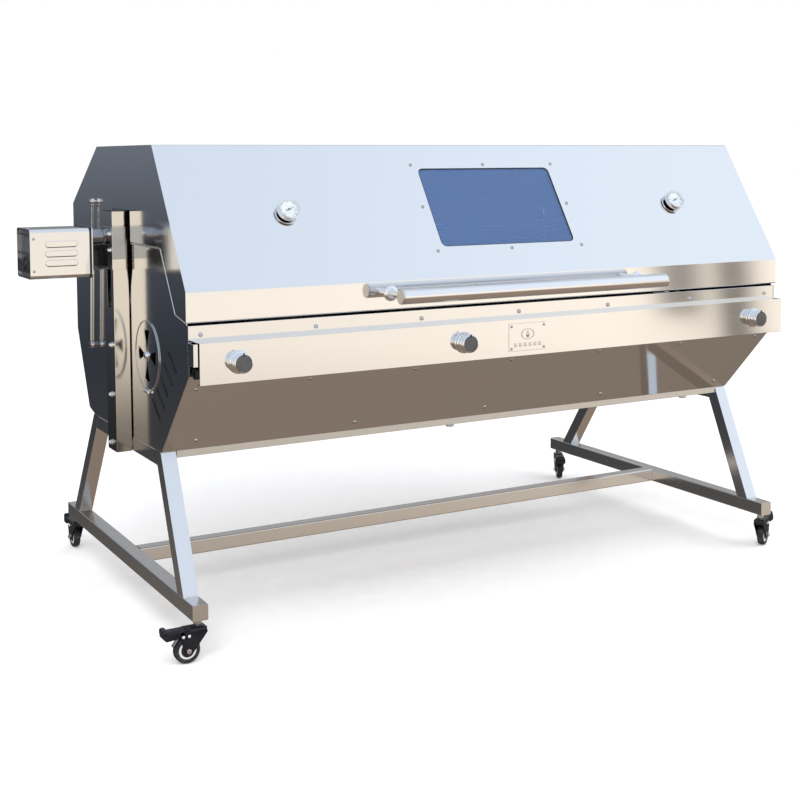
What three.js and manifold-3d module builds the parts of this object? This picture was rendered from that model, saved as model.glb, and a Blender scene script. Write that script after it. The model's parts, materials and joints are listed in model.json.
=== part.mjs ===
// A long gas spit roaster on a stand with casters: an eight-sided cabinet with a rear-hinged lid,
// a motor-driven spit that can be lowered on two end posts, and three burners behind a control panel.
// Millimetres, +Z up, +X along the spit towards the end away from the motor, -Y towards the cook.

import * as THREE from "three";
import { mergeVertices } from "three/addons/utils/BufferGeometryUtils.js";
import Module from "manifold-3d";

const wasm = await Module();
wasm.setup();

// ---------------------------------------------------------------- driving dimensions
const GAP = 0.3; // clearance between pieces that touch
const SHEET = 2; // sheet metal of the cabinet and lid
const LID_HALF = 903; // half length over the lid's end plates
const BODY_HALF = 898; // half length over the cabinet's end plates
const DEPTH = 450; // half depth of the cabinet
const TOP_Z = 1186; // top of the closed lid
const LID_EDGE_Z = 784; // lower edge of the lid's front band
const LID_CORNER_Z = 855; // where the lid's front band meets its slope
const BACK_CORNER_Z = 1030; // where the lid's back band meets its slope
const TOP_FRONT_Y = -235;
const TOP_BACK_Y = 210;
const BODY_RIM_Z = 778; // upper edge of the cabinet's front
const BODY_CORNER_Z = 662; // where the cabinet's front turns under
const BOTTOM_Z = 453; // underside of the cabinet
const BOTTOM_FRONT_Y = -255;
const BOTTOM_BACK_Y = 299;
const HINGE = { y: 455, z: 880, barrel: 5, pin: 2.4, length: 1700, knuckles: 7 };

const TUBE = { size: 38, wall: 2 }; // square tube of the stand
const RAIL = { x: 880, front: -452, back: 595, top: 137 };
const RAIL_BOTTOM = RAIL.top - TUBE.size;
const FRONT_LEG = { topY: -250, footY: -393 }; // outer edge at cabinet and at base rail
const BACK_LEG = { topY: 303, footY: 520 };
const STRETCHER_Y = 55;

const WHEEL = { radius: 31, width: 19, trail: 27 };
const CASTER_INSET = 22; // from a base rail's end to the caster's stem
const CASTERS = [
  { name: "front_left", side: -1, y: RAIL.front + CASTER_INSET, turn: 180 },
  { name: "back_left", side: -1, y: RAIL.back - CASTER_INSET, turn: 90 },
  { name: "front_right", side: 1, y: RAIL.front + CASTER_INSET, turn: 30 },
  { name: "back_right", side: 1, y: RAIL.back - CASTER_INSET, turn: 240 },
];

const SPIT = { z: 960, radius: 12.5, bearing: 13.2, travel: 160, end: 964 };
const POST = { half: 36, depth: 40, bottom: 415, top: 1022 };
const SLOT = { front: -60, back: 80, low: 775 }; // opening in the cabinet's end round the spit
const CARRIAGE = { half: 41, bottom: 877, top: 984 };

const MOTOR = { outer: -1150, inner: -1001, front: -60, back: 70, bottom: 864, top: 985, wall: 1.5 };
const MOUNT_X = -998;

const PANEL = { half: 887, out: 41, bottom: 648, top: 743 }; // control panel, out = how far it stands proud
const PANEL_FACE_Y = -DEPTH - PANEL.out;
const KNOB_XS = [-794, -193, 778];
const KNOB_Z = 695;
const BURNER = { radius: 19, wall: 2, inletY: -326, z: 560 };
const MANIFOLD = { y: -470, z: 672, radius: 12.5, wall: 2, from: -893, to: 800 };

const FITTINGS_X = 5; // window and handle sit this far right of the middle
const WINDOW = { width: 414, low: 88, high: 322, corner: 14 }; // heights are measured up the lid's slope
const DIAL = { x: 603, up: 200, radius: 29 };
const HANDLE = { half: 407, radius: 18.2, out: 87.3, z: 824 };

const VENT = { y: -165, z: 675, radius: 88, holeIn: 14, holeOut: 62, halfAngle: 18 };
const STRUT = { lidY: 233, lidZ: 1040, bodyY: 266, bodyZ: 650, off: 911, radius: 6.4, rod: 2.8 };

// ---------------------------------------------------------------- colours
const STEEL = { color: 0xb9bcc2, roughness: 0.32, metalness: 1 };
const DARK_STEEL = { color: 0x8c8a86, roughness: 0.38, metalness: 1 };
const CHROME = { color: 0xdfe2e6, roughness: 0.12, metalness: 1 };
const BLACK_PLASTIC = { color: 0x17181b, roughness: 0.5, metalness: 0 };
const RUBBER = { color: 0x1b1b1c, roughness: 0.85, metalness: 0 };
const BLUE_GLASS = { color: 0x5b76ad, roughness: 0.08, metalness: 0 };
const DIAL_WHITE = { color: 0xf1f2f3, roughness: 0.4, metalness: 0 };
const BLACK_STEEL = { color: 0x222326, roughness: 0.6, metalness: 0.6 };

// ---------------------------------------------------------------- solid helpers
const AXIS_X = new THREE.Vector3(1, 0, 0);
const AXIS_Y = new THREE.Vector3(0, 1, 0);
const AXIS_Z = new THREE.Vector3(0, 0, 1);

// A closed three.js geometry as a solid that can be joined and cut.
function solid(geometry) {
  geometry.deleteAttribute("normal");
  geometry.deleteAttribute("uv");
  const merged = mergeVertices(geometry, 1e-4);
  const vertProperties = new Float32Array(merged.getAttribute("position").array);
  const triVerts = new Uint32Array(merged.index.array);
  return new wasm.Manifold(new wasm.Mesh({ numProp: 3, vertProperties, triVerts }));
}

// A solid back as a three.js geometry.
function surface(body) {
  const { vertProperties, triVerts } = body.getMesh();
  const geometry = new THREE.BufferGeometry();
  geometry.setAttribute("position", new THREE.BufferAttribute(vertProperties, 3));
  geometry.setIndex(new THREE.BufferAttribute(triVerts, 1));
  geometry.computeVertexNormals();
  return geometry;
}

function join(...bodies) {
  return bodies.reduce((whole, body) => whole.add(body));
}

function cut(body, ...tools) {
  return tools.reduce((rest, tool) => rest.subtract(tool), body);
}

// A block between two corners; the two ends of each pair may come in either order.
function block([x0, x1], [y0, y1], [z0, z1]) {
  const geometry = new THREE.BoxGeometry(Math.abs(x1 - x0), Math.abs(y1 - y0), Math.abs(z1 - z0));
  geometry.translate((x0 + x1) / 2, (y0 + y1) / 2, (z0 + z1) / 2);
  return solid(geometry);
}

// The directions that an outline's two coordinates and its depth take for each extrusion axis.
const PRISM_BASES = {
  x: [AXIS_Y, AXIS_Z, AXIS_X],
  y: [AXIS_X, AXIS_Z, AXIS_Y.clone().negate()],
  z: [AXIS_X, AXIS_Y, AXIS_Z],
};

// An outline extruded along an axis. The outline is (y, z) for x, (x, z) for y and (x, y) for z.
function prism(outline, axis, from, to) {
  const shape = new THREE.Shape(outline.map(([a, b]) => new THREE.Vector2(a, b)));
  const low = Math.min(from, to);
  const high = Math.max(from, to);
  const geometry = new THREE.ExtrudeGeometry(shape, { depth: high - low, bevelEnabled: false });
  geometry.translate(0, 0, axis === "y" ? -high : low);
  geometry.applyMatrix4(new THREE.Matrix4().makeBasis(...PRISM_BASES[axis]));
  return solid(geometry);
}

// A round bar of a given radius between two values along an axis, centred on the other two coordinates.
function bar(radius, axis, from, to, centre, segments = 12) {
  const geometry = new THREE.CylinderGeometry(radius, radius, Math.abs(to - from), segments);
  const middle = (from + to) / 2;
  if (axis === "x") geometry.rotateZ(-Math.PI / 2).translate(middle, centre[0], centre[1]);
  if (axis === "y") geometry.translate(centre[0], middle, centre[1]);
  if (axis === "z") geometry.rotateX(Math.PI / 2).translate(centre[0], centre[1], middle);
  return solid(geometry);
}

// A closed profile of (radius, height) points turned about +Z.
function turned(profile, segments) {
  const points = profile.map(([r, h]) => new THREE.Vector2(r, h));
  return solid(new THREE.LatheGeometry(points, segments).rotateX(Math.PI / 2));
}

// The outline of a folded sheet: a line of (a, b) points given a thickness to its left.
function folded(line, thickness = SHEET) {
  const points = line.map(([a, b]) => new THREE.Vector2(a, b));
  const sides = points.slice(1).map((point, i) => point.clone().sub(points[i]).normalize());
  const inner = points.map((point, i) => {
    const before = sides[Math.max(i - 1, 0)];
    const after = sides[Math.min(i, sides.length - 1)];
    const mitre = before.clone().add(after).normalize();
    const reach = thickness / mitre.dot(before);
    return [point.x - mitre.y * reach, point.y + mitre.x * reach];
  });
  return [...line, ...inner.reverse()];
}

// A sheet-metal piece with one cross-section all along the cabinet.
function foldedSheet(line, half, thickness = SHEET) {
  return prism(folded(line, thickness), "x", -half, half);
}

// A rectangle with rounded corners, as (a, b) points.
function roundedRectangle(a0, a1, b0, b1, radius, steps = 3) {
  const corners = [[a1 - radius, b0 + radius], [a1 - radius, b1 - radius], [a0 + radius, b1 - radius], [a0 + radius, b0 + radius]];
  return corners.flatMap(([a, b], corner) =>
    Array.from({ length: steps + 1 }, (_, i) => {
      const angle = (corner - 1 + i / steps) * (Math.PI / 2);
      return [a + radius * Math.cos(angle), b + radius * Math.sin(angle)];
    }));
}

const roaster = new THREE.Group();

// Adds a named piece to the model, or to a group placed in it.
function piece(name, body, finish, parent = roaster) {
  const mesh = new THREE.Mesh(surface(body), new THREE.MeshStandardMaterial(finish));
  mesh.name = name;
  parent.add(mesh);
  return mesh;
}

const SIDES = [
  { name: "left", sign: -1 },
  { name: "right", sign: 1 },
];

// ---------------------------------------------------------------- stand
// A base rail: square tube with welded end plates, drilled below for the caster stems.
function baseRail(sign) {
  const half = TUBE.size / 2;
  const x = sign * RAIL.x;
  const outer = block([x - half, x + half], [RAIL.front, RAIL.back], [RAIL_BOTTOM, RAIL.top]);
  const w = TUBE.wall;
  const hollow = block([x - half + w, x + half - w], [RAIL.front + w, RAIL.back - w], [RAIL_BOTTOM + w, RAIL.top - w]);
  const holes = [RAIL.front + CASTER_INSET, RAIL.back - CASTER_INSET].map((y) =>
    bar(6, "z", RAIL_BOTTOM - 1, RAIL_BOTTOM + w + 1, [x, y], 12));
  return cut(outer, hollow, ...holes);
}

// The four corners (y, z) of a leg seen from the end, from base rail to cabinet.
function legOutline(leg, inset) {
  const footZ = RAIL.top + GAP;
  const topZ = BOTTOM_Z - GAP;
  const lean = Math.atan2(leg.footY - leg.topY, BOTTOM_Z - RAIL.top);
  const width = TUBE.size / Math.cos(lean);
  const inward = -Math.sign(leg.footY);
  const skin = inward * inset / Math.cos(lean);
  return [
    [leg.footY + skin, footZ],
    [leg.footY + inward * width - skin, footZ],
    [leg.topY + inward * width - skin, topZ],
    [leg.topY + skin, topZ],
  ];
}

// A splayed leg of square tube, open at both cut ends.
function standLeg(sign, leg) {
  const outerX = sign * (RAIL.x + TUBE.size / 2);
  const innerX = sign * (RAIL.x - TUBE.size / 2);
  const walls = prism(legOutline(leg, 0), "x", innerX, outerX);
  const hollow = prism(legOutline(leg, TUBE.wall), "x", innerX + sign * TUBE.wall, outerX - sign * TUBE.wall);
  const ends = [RAIL.top, BOTTOM_Z].map((z) => {
    const at = z === RAIL.top ? 0 : 3;
    const opposite = z === RAIL.top ? 1 : 2;
    const corners = legOutline(leg, TUBE.wall);
    const ys = [corners[at][0], corners[opposite][0]].sort((a, b) => a - b);
    return block([innerX + sign * TUBE.wall, outerX - sign * TUBE.wall], ys, [z - 1, z + 1]);
  });
  return cut(walls, hollow, ...ends);
}

// The tube under a cabinet end, mitred between the two legs.
function topRail(sign) {
  const bottom = BOTTOM_Z - TUBE.size;
  const outline = (inset) => {
    const front = legOutline(FRONT_LEG, 0);
    const back = legOutline(BACK_LEG, 0);
    const lineAt = (corners, z) => {
      const [[y0, z0], [y1, z1]] = [corners[1], corners[2]];
      return y0 + (y1 - y0) * (z - z0) / (z1 - z0);
    };
    const low = bottom + inset;
    const high = BOTTOM_Z - GAP - inset;
    return [
      [lineAt(front, low) + 1, low],
      [lineAt(back, low) - 1, low],
      [lineAt(back, high) - 1, high],
      [lineAt(front, high) + 1, high],
    ];
  };
  const outerX = sign * (RAIL.x + TUBE.size / 2);
  const innerX = sign * (RAIL.x - TUBE.size / 2);
  const walls = prism(outline(0), "x", innerX, outerX);
  const inside = [innerX + sign * TUBE.wall, outerX - sign * TUBE.wall];
  const hollow = block(inside, [FRONT_LEG.footY, BACK_LEG.footY], [bottom + TUBE.wall, BOTTOM_Z - GAP - TUBE.wall]);
  return cut(walls, hollow);
}

// The long tube that ties the two base rails together.
function stretcher() {
  const half = RAIL.x - TUBE.size / 2 - GAP;
  const r = TUBE.size / 2;
  const w = TUBE.wall;
  const walls = block([-half, half], [STRETCHER_Y - r, STRETCHER_Y + r], [RAIL_BOTTOM, RAIL.top]);
  const hollow = block([-half - 1, half + 1], [STRETCHER_Y - r + w, STRETCHER_Y + r - w], [RAIL_BOTTOM + w, RAIL.top - w]);
  return cut(walls, hollow);
}

for (const { name, sign } of SIDES) {
  piece(`base_rail_${name}`, baseRail(sign), STEEL);
  piece(`leg_front_${name}`, standLeg(sign, FRONT_LEG), STEEL);
  piece(`leg_back_${name}`, standLeg(sign, BACK_LEG), STEEL);
  piece(`top_rail_${name}`, topRail(sign), STEEL);
}
piece("stretcher", stretcher(), STEEL);

// ---------------------------------------------------------------- casters
// Each caster is drawn with its stem on the Z axis and its wheel trailing towards +X.
const YOKE = { cheekIn: 12, cheekOut: 15, top: 82, crown: 76, reach: 46 };
const PEDAL = { pivotX: 41, pivotZ: 71, tip: 86 };

// Swivel fork with its threaded stem, nut and axle.
function casterFork() {
  const cheek = [[-16, YOKE.top], [-20, 70], [12, 30], [20, 22], [34, 22], [38, 34], [YOKE.reach, 62], [YOKE.reach, 76], [34, YOKE.top]];
  const cheeks = [-1, 1].map((s) => prism(cheek, "y", s * YOKE.cheekIn, s * YOKE.cheekOut));
  const crown = block([-18, 34], [-YOKE.cheekOut, YOKE.cheekOut], [YOKE.crown, YOKE.top]);
  const stem = bar(5, "z", YOKE.top - 1, 128, [0, 0], 8);
  const nut = bar(10, "z", YOKE.top + 5, RAIL_BOTTOM - GAP, [0, 0], 6);
  const axle = bar(4, "y", -YOKE.cheekOut - 4, YOKE.cheekOut + 4, [WHEEL.trail, WHEEL.radius], 8);
  return join(...cheeks, crown, stem, nut, axle);
}

// Wheel with rounded tread edges; a flat of the tread is turned to the floor.
function casterWheel() {
  const half = WHEEL.width / 2;
  const r = WHEEL.radius / Math.cos(Math.PI / 24);
  const profile = [[4.5, -half + 1], [r - 4, -half], [r, -half + 3], [r, half - 3], [r - 4, half], [4.5, half - 1], [4.5, -half + 1]];
  const points = profile.map(([a, b]) => new THREE.Vector2(a, b));
  const geometry = new THREE.LatheGeometry(points, 24);
  geometry.rotateY(Math.PI / 24).translate(WHEEL.trail, 0, WHEEL.radius);
  return solid(geometry);
}

// Foot pedal of the brake, hinged between the fork's cheeks.
function brakePedal() {
  const root = [[36.5, 66], [50, 64], [60, 66], [60, 76], [50, 79], [37, 78]];
  const tread = [[51, 64], [PEDAL.tip - 6, 62], [PEDAL.tip, 68], [PEDAL.tip - 4, 80], [70, 77], [51, 79]];
  const pin = bar(2.5, "y", -YOKE.cheekIn + GAP, YOKE.cheekIn - GAP, [PEDAL.pivotX, PEDAL.pivotZ], 8);
  return join(prism(root, "y", -11, 11), prism(tread, "y", -16, 16), pin);
}

for (const { name, side, y, turn } of CASTERS) {
  const caster = new THREE.Group();
  caster.position.set(side * RAIL.x, y, 0);
  caster.rotation.z = THREE.MathUtils.degToRad(turn);
  piece(`caster_fork_${name}`, casterFork(), BLACK_PLASTIC, caster);
  piece(`caster_wheel_${name}`, casterWheel(), RUBBER, caster);
  piece(`brake_pedal_${name}`, brakePedal(), BLACK_PLASTIC, caster);
  roaster.add(caster);
}

// ---------------------------------------------------------------- cabinet
const LID_SLOPE = new THREE.Vector2(TOP_FRONT_Y + DEPTH + 1, TOP_Z - LID_CORNER_Z).normalize();

// One wedge-shaped air hole of the end vent, turned about the vent's middle.
function ventHole(quarter, fromX, toX) {
  const spread = THREE.MathUtils.degToRad(VENT.halfAngle);
  const middle = Math.PI / 2 + quarter * (Math.PI / 2);
  const at = (radius, angle) => [VENT.y + radius * Math.cos(angle), VENT.z + radius * Math.sin(angle)];
  const outline = [
    at(VENT.holeIn, middle),
    at(VENT.holeOut, middle - spread),
    at(VENT.holeOut + 4, middle),
    at(VENT.holeOut, middle + spread),
  ];
  return prism(outline, "x", fromX, toX);
}

// The five slanted slots in front of and below the vent.
function louvreSlots(fromX, toX) {
  const along = new THREE.Vector2(49, 39).normalize();
  const across = new THREE.Vector2(-along.y, along.x);
  return Array.from({ length: 5 }, (_, i) => {
    const middle = new THREE.Vector2(-342 + 30 * i, 682 - 32.5 * i);
    const corner = (a, b) => {
      const point = middle.clone().addScaledVector(along, a).addScaledVector(across, b);
      return [point.x, point.y];
    };
    return prism([corner(-31, -2.5), corner(31, -2.5), corner(31, 2.5), corner(-31, 2.5)], "x", fromX, toX);
  });
}

// An end plate of the cabinet: open at the top round the spit, with the vent and a stud for the lid strut.
function bodyEnd(sign) {
  const outer = sign * BODY_HALF;
  const inner = sign * (BODY_HALF - SHEET);
  const rise = LID_SLOPE.y / LID_SLOPE.x;
  const lapFoot = { y: -357, z: 818 };
  const lapTop = 959;
  const outline = [
    [BOTTOM_FRONT_Y, BOTTOM_Z],
    [BOTTOM_BACK_Y, BOTTOM_Z],
    [347, 465],
    [DEPTH, 676],
    [DEPTH, HINGE.z - 6],
    [438, HINGE.z - 6],
    [438, 896],
    [SLOT.back, 896],
    [SLOT.back, SLOT.low + 15],
    [45, SLOT.low],
    [-25, SLOT.low],
    [SLOT.front, CARRIAGE.bottom],
    [SLOT.front, lapTop],
    [lapFoot.y + (lapTop - lapFoot.z) / rise, lapTop],
    [lapFoot.y, lapFoot.z],
    [-397, 796],
    [-440, 796],
    [-440, BODY_RIM_Z],
    [-DEPTH, BODY_RIM_Z],
    [-DEPTH, BODY_CORNER_Z],
  ];
  const reach = [sign * (BODY_HALF - 10), sign * (BODY_HALF + 10)];
  const holes = [0, 1, 2, 3].map((quarter) => ventHole(quarter, ...reach));
  const plate = cut(prism(outline, "x", inner, outer), ...holes, ...louvreSlots(...reach));
  const at = [STRUT.bodyY, STRUT.bodyZ];
  const stud = bar(4, "x", sign * (BODY_HALF - 1), sign * (STRUT.off + 8), at, 8);
  const head = bar(7, "x", sign * (STRUT.off + 6), sign * (STRUT.off + 9), at, 8);
  const foot = bar(8, "x", sign * (BODY_HALF - 1), sign * (BODY_HALF + 6), at, 12);
  const pivot = bar(4, "x", sign * (BODY_HALF - 1), sign * (BODY_HALF + 4.5), [VENT.y, VENT.z], 12);
  return join(plate, stud, head, foot, pivot);
}

// The cabinet's front: rolled rim, upright band, slope and a bottom lip.
function bodyFront() {
  const line = [
    [-424, BODY_RIM_Z],
    [-DEPTH + 1, BODY_RIM_Z],
    [-DEPTH + 1, BODY_CORNER_Z],
    [BOTTOM_FRONT_Y, BOTTOM_Z],
    [-226, BOTTOM_Z],
  ];
  return foldedSheet(line, BODY_HALF - SHEET - GAP);
}

// The cabinet's back: upright band, slope and a bottom lip.
function bodyBack() {
  const line = [[272, BOTTOM_Z], [BOTTOM_BACK_Y, BOTTOM_Z], [346, 465], [DEPTH - 1, 676], [DEPTH - 1, HINGE.z - 6]];
  return foldedSheet(line, BODY_HALF - SHEET - GAP);
}

// The shallow grease pan under the open bottom, between the top rails.
function greasePan() {
  const half = RAIL.x - TUBE.size / 2 - 2;
  const top = BOTTOM_Z - GAP;
  const ys = [BOTTOM_FRONT_Y + 3, BOTTOM_BACK_Y - 3];
  const shell = block([-half, half], ys, [BOTTOM_Z - 18, top]);
  const hollow = block([-half + SHEET, half - SHEET], [ys[0] + SHEET, ys[1] - SHEET], [BOTTOM_Z - 18 + SHEET, top + 1]);
  return cut(shell, hollow);
}

// A round damper plate over the vent, with matching holes and a thumb tab.
function ventDisc(sign) {
  const inner = sign * (BODY_HALF + GAP);
  const outer = sign * (BODY_HALF + GAP + 1.5);
  const disc = bar(VENT.radius, "x", inner, outer, [VENT.y, VENT.z], 32);
  const bore = bar(4.4, "x", inner - sign, outer + sign, [VENT.y, VENT.z], 12);
  const holes = [0, 1, 2, 3].map((quarter) => ventHole(quarter, inner - sign, outer + sign));
  const tabZ = VENT.z - VENT.radius + 8;
  const tab = block([inner, sign * (BODY_HALF + 16)], [VENT.y - 16, VENT.y + 16], [tabZ - 2, tabZ]);
  return join(cut(disc, bore, ...holes), tab);
}

for (const { name, sign } of SIDES) {
  piece(`body_end_${name}`, bodyEnd(sign), STEEL);
  piece(`vent_disc_${name}`, ventDisc(sign), STEEL);
}
piece("body_front", bodyFront(), STEEL);
piece("body_back", bodyBack(), STEEL);
piece("grease_pan", greasePan(), DARK_STEEL);

// ---------------------------------------------------------------- gas and controls
// The control panel: a folded cover that stands proud of the cabinet's front, open at both ends.
function controlPanel() {
  const line = [
    [-DEPTH + 1 - GAP, PANEL.top],
    [PANEL_FACE_Y, PANEL.top],
    [PANEL_FACE_Y, PANEL.bottom],
    [PANEL_FACE_Y + 16, PANEL.bottom],
  ];
  const cover = foldedSheet(line, PANEL.half);
  const holes = KNOB_XS.map((x) => bar(8, "y", PANEL_FACE_Y - 1, PANEL_FACE_Y + SHEET + 1, [x, KNOB_Z], 12));
  return cut(cover, ...holes);
}

// The gas pipe behind the panel, open at its inlet, with one valve and spindle for each knob.
function gasManifold() {
  const { y, z, radius, wall, from, to } = MANIFOLD;
  const pipe = cut(
    bar(radius, "x", from, to, [y, z], 16),
    bar(radius - wall, "x", from - 1, to - wall, [y, z], 16),
  );
  const valves = KNOB_XS.map((x) => join(
    block([x - 11, x + 11], [y - 9, y + 9], [z + radius - 1.5, KNOB_Z + 11]),
    bar(4, "y", y - 5, PANEL_FACE_Y - 12, [x, KNOB_Z], 12),
  ));
  return join(pipe, ...valves);
}

// A control knob drawn at the panel's face, turning about Y, with its pointer up.
function knob() {
  const profile = [[0, 14], [4.4, 14], [4.4, 0], [24, 0], [24, 5], [21, 8], [19.5, 27], [17, 30], [0, 30]];
  const points = profile.map(([r, h]) => new THREE.Vector2(r, h));
  const grip = solid(new THREE.LatheGeometry(points, 20).rotateX(Math.PI));
  const pointer = block([-2, 2], [-31, -8], [10, 23]);
  return join(grip, pointer);
}

// A tube burner: an open inlet from the front, then a long run under the spit, closed at its far end.
function burner(fromX, toX) {
  const { radius, wall, inletY, z } = BURNER;
  const way = Math.sign(toX - fromX);
  const outer = join(
    bar(radius, "x", fromX - way * radius, toX, [0, z], 12),
    bar(radius, "y", inletY, 0, [fromX, z], 12),
  );
  const bore = radius - wall;
  const inner = join(
    bar(bore, "x", fromX - way * bore, toX - way * wall, [0, z], 12),
    bar(bore, "y", inletY - 1, 0, [fromX, z], 12),
  );
  return cut(outer, inner);
}

piece("control_panel", controlPanel(), STEEL);
piece("gas_manifold", gasManifold(), BLACK_STEEL);
KNOB_XS.forEach((x, i) => {
  const mesh = piece(`knob_${i + 1}`, knob(), CHROME);
  mesh.position.set(x, PANEL_FACE_Y - GAP, KNOB_Z);
});
[[-794, -290], [-193, 300], [778, 350]].forEach(([from, to], i) => {
  piece(`burner_${i + 1}`, burner(from, to), DARK_STEEL);
});

// ---------------------------------------------------------------- spit posts and carriages
// A channel bolted to a cabinet end, slotted so the spit can be raised and lowered in it.
function spitPost(sign) {
  const inner = sign * (BODY_HALF + SHEET + GAP);
  const outer = sign * (BODY_HALF + SHEET + POST.depth);
  const { half, bottom, top } = POST;
  const walls = block([inner, outer], [-half, half], [bottom, top]);
  const hollow = block([inner - sign, outer - sign * 2.5], [-half + 2.5, half - 2.5], [bottom - 1, top - 2.5]);
  const slot = block([outer - sign * 4, outer + sign], [-16, 16], [SPIT.z - SPIT.travel - 20, SPIT.z + 20]);
  return cut(walls, hollow, slot);
}

// The clamp that slides on a post and carries the spit's bearing through the slot.
function carriage(sign) {
  const web = sign * (BODY_HALF + SHEET + POST.depth);
  const { half, bottom, top } = CARRIAGE;
  const outer = web + sign * (GAP + 3);
  const wrap = cut(
    block([sign * (BODY_HALF + 9), outer], [-half, half], [bottom, top]),
    block([sign * (BODY_HALF + 8), web + sign * GAP], [-POST.half - GAP, POST.half + GAP], [bottom - 1, top + 1]),
  );
  const hub = bar(15.4, "x", web - sign * 10, outer + sign * 8, [0, SPIT.z], 20);
  const bore = bar(SPIT.bearing, "x", web - sign * 11, outer + sign * 9, [0, SPIT.z], 20);
  return cut(join(wrap, hub), bore);
}

for (const { name, sign } of SIDES) {
  piece(`spit_post_${name}`, spitPost(sign), STEEL);
  piece(`spit_carriage_${name}`, carriage(sign), DARK_STEEL);
}

// The spit: a round bar from the motor's socket to beyond the far bearing, with its drive collar.
function spitRod() {
  const rod = bar(SPIT.radius, "x", -1003, SPIT.end, [0, SPIT.z], 20);
  const collar = bar(19, "x", -988, -958, [0, SPIT.z], 20);
  return join(rod, collar);
}

// A clamp collar with a cross bar and two pairs of tines that point along the spit.
function meatFork(x, way) {
  const collar = bar(22, "x", x - 18, x + 18, [0, SPIT.z], 16);
  const bore = bar(SPIT.radius + GAP, "x", x - 19, x + 19, [0, SPIT.z], 20);
  const screw = bar(4, "z", SPIT.z + 15, SPIT.z + 42, [x, 0], 8);
  const wing = block([x - 12, x + 12], [-2.5, 2.5], [SPIT.z + 34, SPIT.z + 44]);
  const reach = 46;
  const arms = [
    block([x - 5, x + 5], [-reach, reach], [SPIT.z - 5, SPIT.z + 5]),
    block([x - 5, x + 5], [-5, 5], [SPIT.z - reach, SPIT.z]),
  ];
  const tines = [[-reach + 5, SPIT.z], [reach - 5, SPIT.z], [0, SPIT.z - reach + 5]].map((at) =>
    bar(4, "x", x, x + way * 150, at, 8));
  return join(cut(join(collar, ...arms), bore), screw, wing, ...tines);
}

piece("spit_rod", spitRod(), CHROME);
piece("meat_fork_left", meatFork(-310, 1), CHROME);
piece("meat_fork_right", meatFork(400, -1), CHROME);

// ---------------------------------------------------------------- spit motor
// The folded steel cover, open at its outer end, louvred in front, holed for the shaft.
function motorHousing() {
  const { outer, inner, front, back, bottom, top, wall } = MOTOR;
  const skin = prism(roundedRectangle(front, back, bottom, top, 9), "x", outer, inner);
  const hollow = prism(roundedRectangle(front + wall, back - wall, bottom + wall, top - wall, 7.5), "x", outer - 1, inner - wall);
  const shaft = bar(17, "x", inner - 4, inner + 1, [0, SPIT.z], 16);
  const louvres = [0, 1, 2].map((i) => {
    const z = 948 - 23 * i;
    return block([-1112, -1036], [front - 1, front + wall + 1], [z - 5, z - 1]);
  });
  return cut(skin, hollow, shaft, ...louvres);
}

// The black end cap, set a little inside the cover, with an opening for the switch.
function motorCap() {
  const { outer, front, back, bottom, top, wall } = MOTOR;
  const g = wall + GAP;
  const plate = prism(roundedRectangle(front + g, back - g, bottom + g, top - g, 7), "x", outer + 6, outer + 10);
  const opening = block([outer + 5, outer + 11], [-12, 12], [882, 912]);
  return cut(plate, opening);
}

// The rocker of the motor's on-off switch, tilted to off.
function switchRocker() {
  const x = MOTOR.outer;
  const outline = [[x + 3, 884], [x + 1.5, 897], [x + 5.5, 910], [x + 12, 909], [x + 15, 897], [x + 12, 885]];
  return prism(outline, "y", -10.5, 10.5);
}

// The gear motor inside the cover, with its gearbox nose round the shaft.
function gearMotor() {
  const can = block([-1130, -1060], [-40, 50], [874, 974]);
  const box = block([-1060, -1006], [-48, 58], [874, 976]);
  return join(can, box);
}

// The bracket that hangs the motor on the left carriage: a plate, and two arms to the post.
function motorMount() {
  const inner = -(BODY_HALF + SHEET + POST.depth + GAP + 3 + GAP);
  const plate = prism(roundedRectangle(MOTOR.front - 1, MOTOR.back + 1, MOTOR.bottom - 2, MOTOR.top + 2, 9), "x", MOUNT_X - 2, MOUNT_X + 1);
  const hole = bar(22, "x", MOUNT_X - 3, MOUNT_X + 2, [0, SPIT.z], 16);
  const arms = [
    block([MOUNT_X, inner], [28, 31], [878, 938]),
    block([MOUNT_X, inner], [-20, 31], [878, 881]),
    block([inner - 3, inner], [-20, 31], [878, 938]),
  ];
  return join(cut(plate, hole), ...arms);
}

piece("motor_housing", motorHousing(), STEEL);
piece("motor_cap", motorCap(), BLACK_PLASTIC);
piece("switch_rocker", switchRocker(), BLACK_PLASTIC);
piece("gear_motor", gearMotor(), BLACK_STEEL);
piece("motor_mount", motorMount(), STEEL);

// ---------------------------------------------------------------- lid
// Turns a shape drawn on the lid's front slope into place: x across, y up the slope, z outwards.
function onSlope(geometry) {
  const up = new THREE.Vector3(0, LID_SLOPE.x, LID_SLOPE.y);
  const out = new THREE.Vector3(0, -LID_SLOPE.y, LID_SLOPE.x);
  const place = new THREE.Matrix4().makeBasis(AXIS_X, up, out);
  place.setPosition(0, -DEPTH - 1, LID_CORNER_Z);
  return geometry.applyMatrix4(place);
}

// A flat outline on the lid's slope, between two heights above its outer face.
function slopePlate(outline, from, to) {
  const shape = new THREE.Shape(outline.map(([a, b]) => new THREE.Vector2(a, b)));
  const geometry = new THREE.ExtrudeGeometry(shape, { depth: to - from, bevelEnabled: false });
  geometry.translate(0, 0, from);
  return solid(onSlope(geometry));
}

// A turned profile of (radius, height) standing on the lid's slope.
function slopeTurned(x, up, profile, segments) {
  const points = profile.map(([r, h]) => new THREE.Vector2(r, h));
  const geometry = new THREE.LatheGeometry(points, segments).rotateX(Math.PI / 2).translate(x, up, 0);
  return solid(onSlope(geometry));
}

// The window's outline on the slope, grown or shrunk all round.
function windowOutline(grow, corner) {
  const half = WINDOW.width / 2 + grow;
  return roundedRectangle(FITTINGS_X - half, FITTINGS_X + half, WINDOW.low - grow, WINDOW.high + grow, corner);
}

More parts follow.
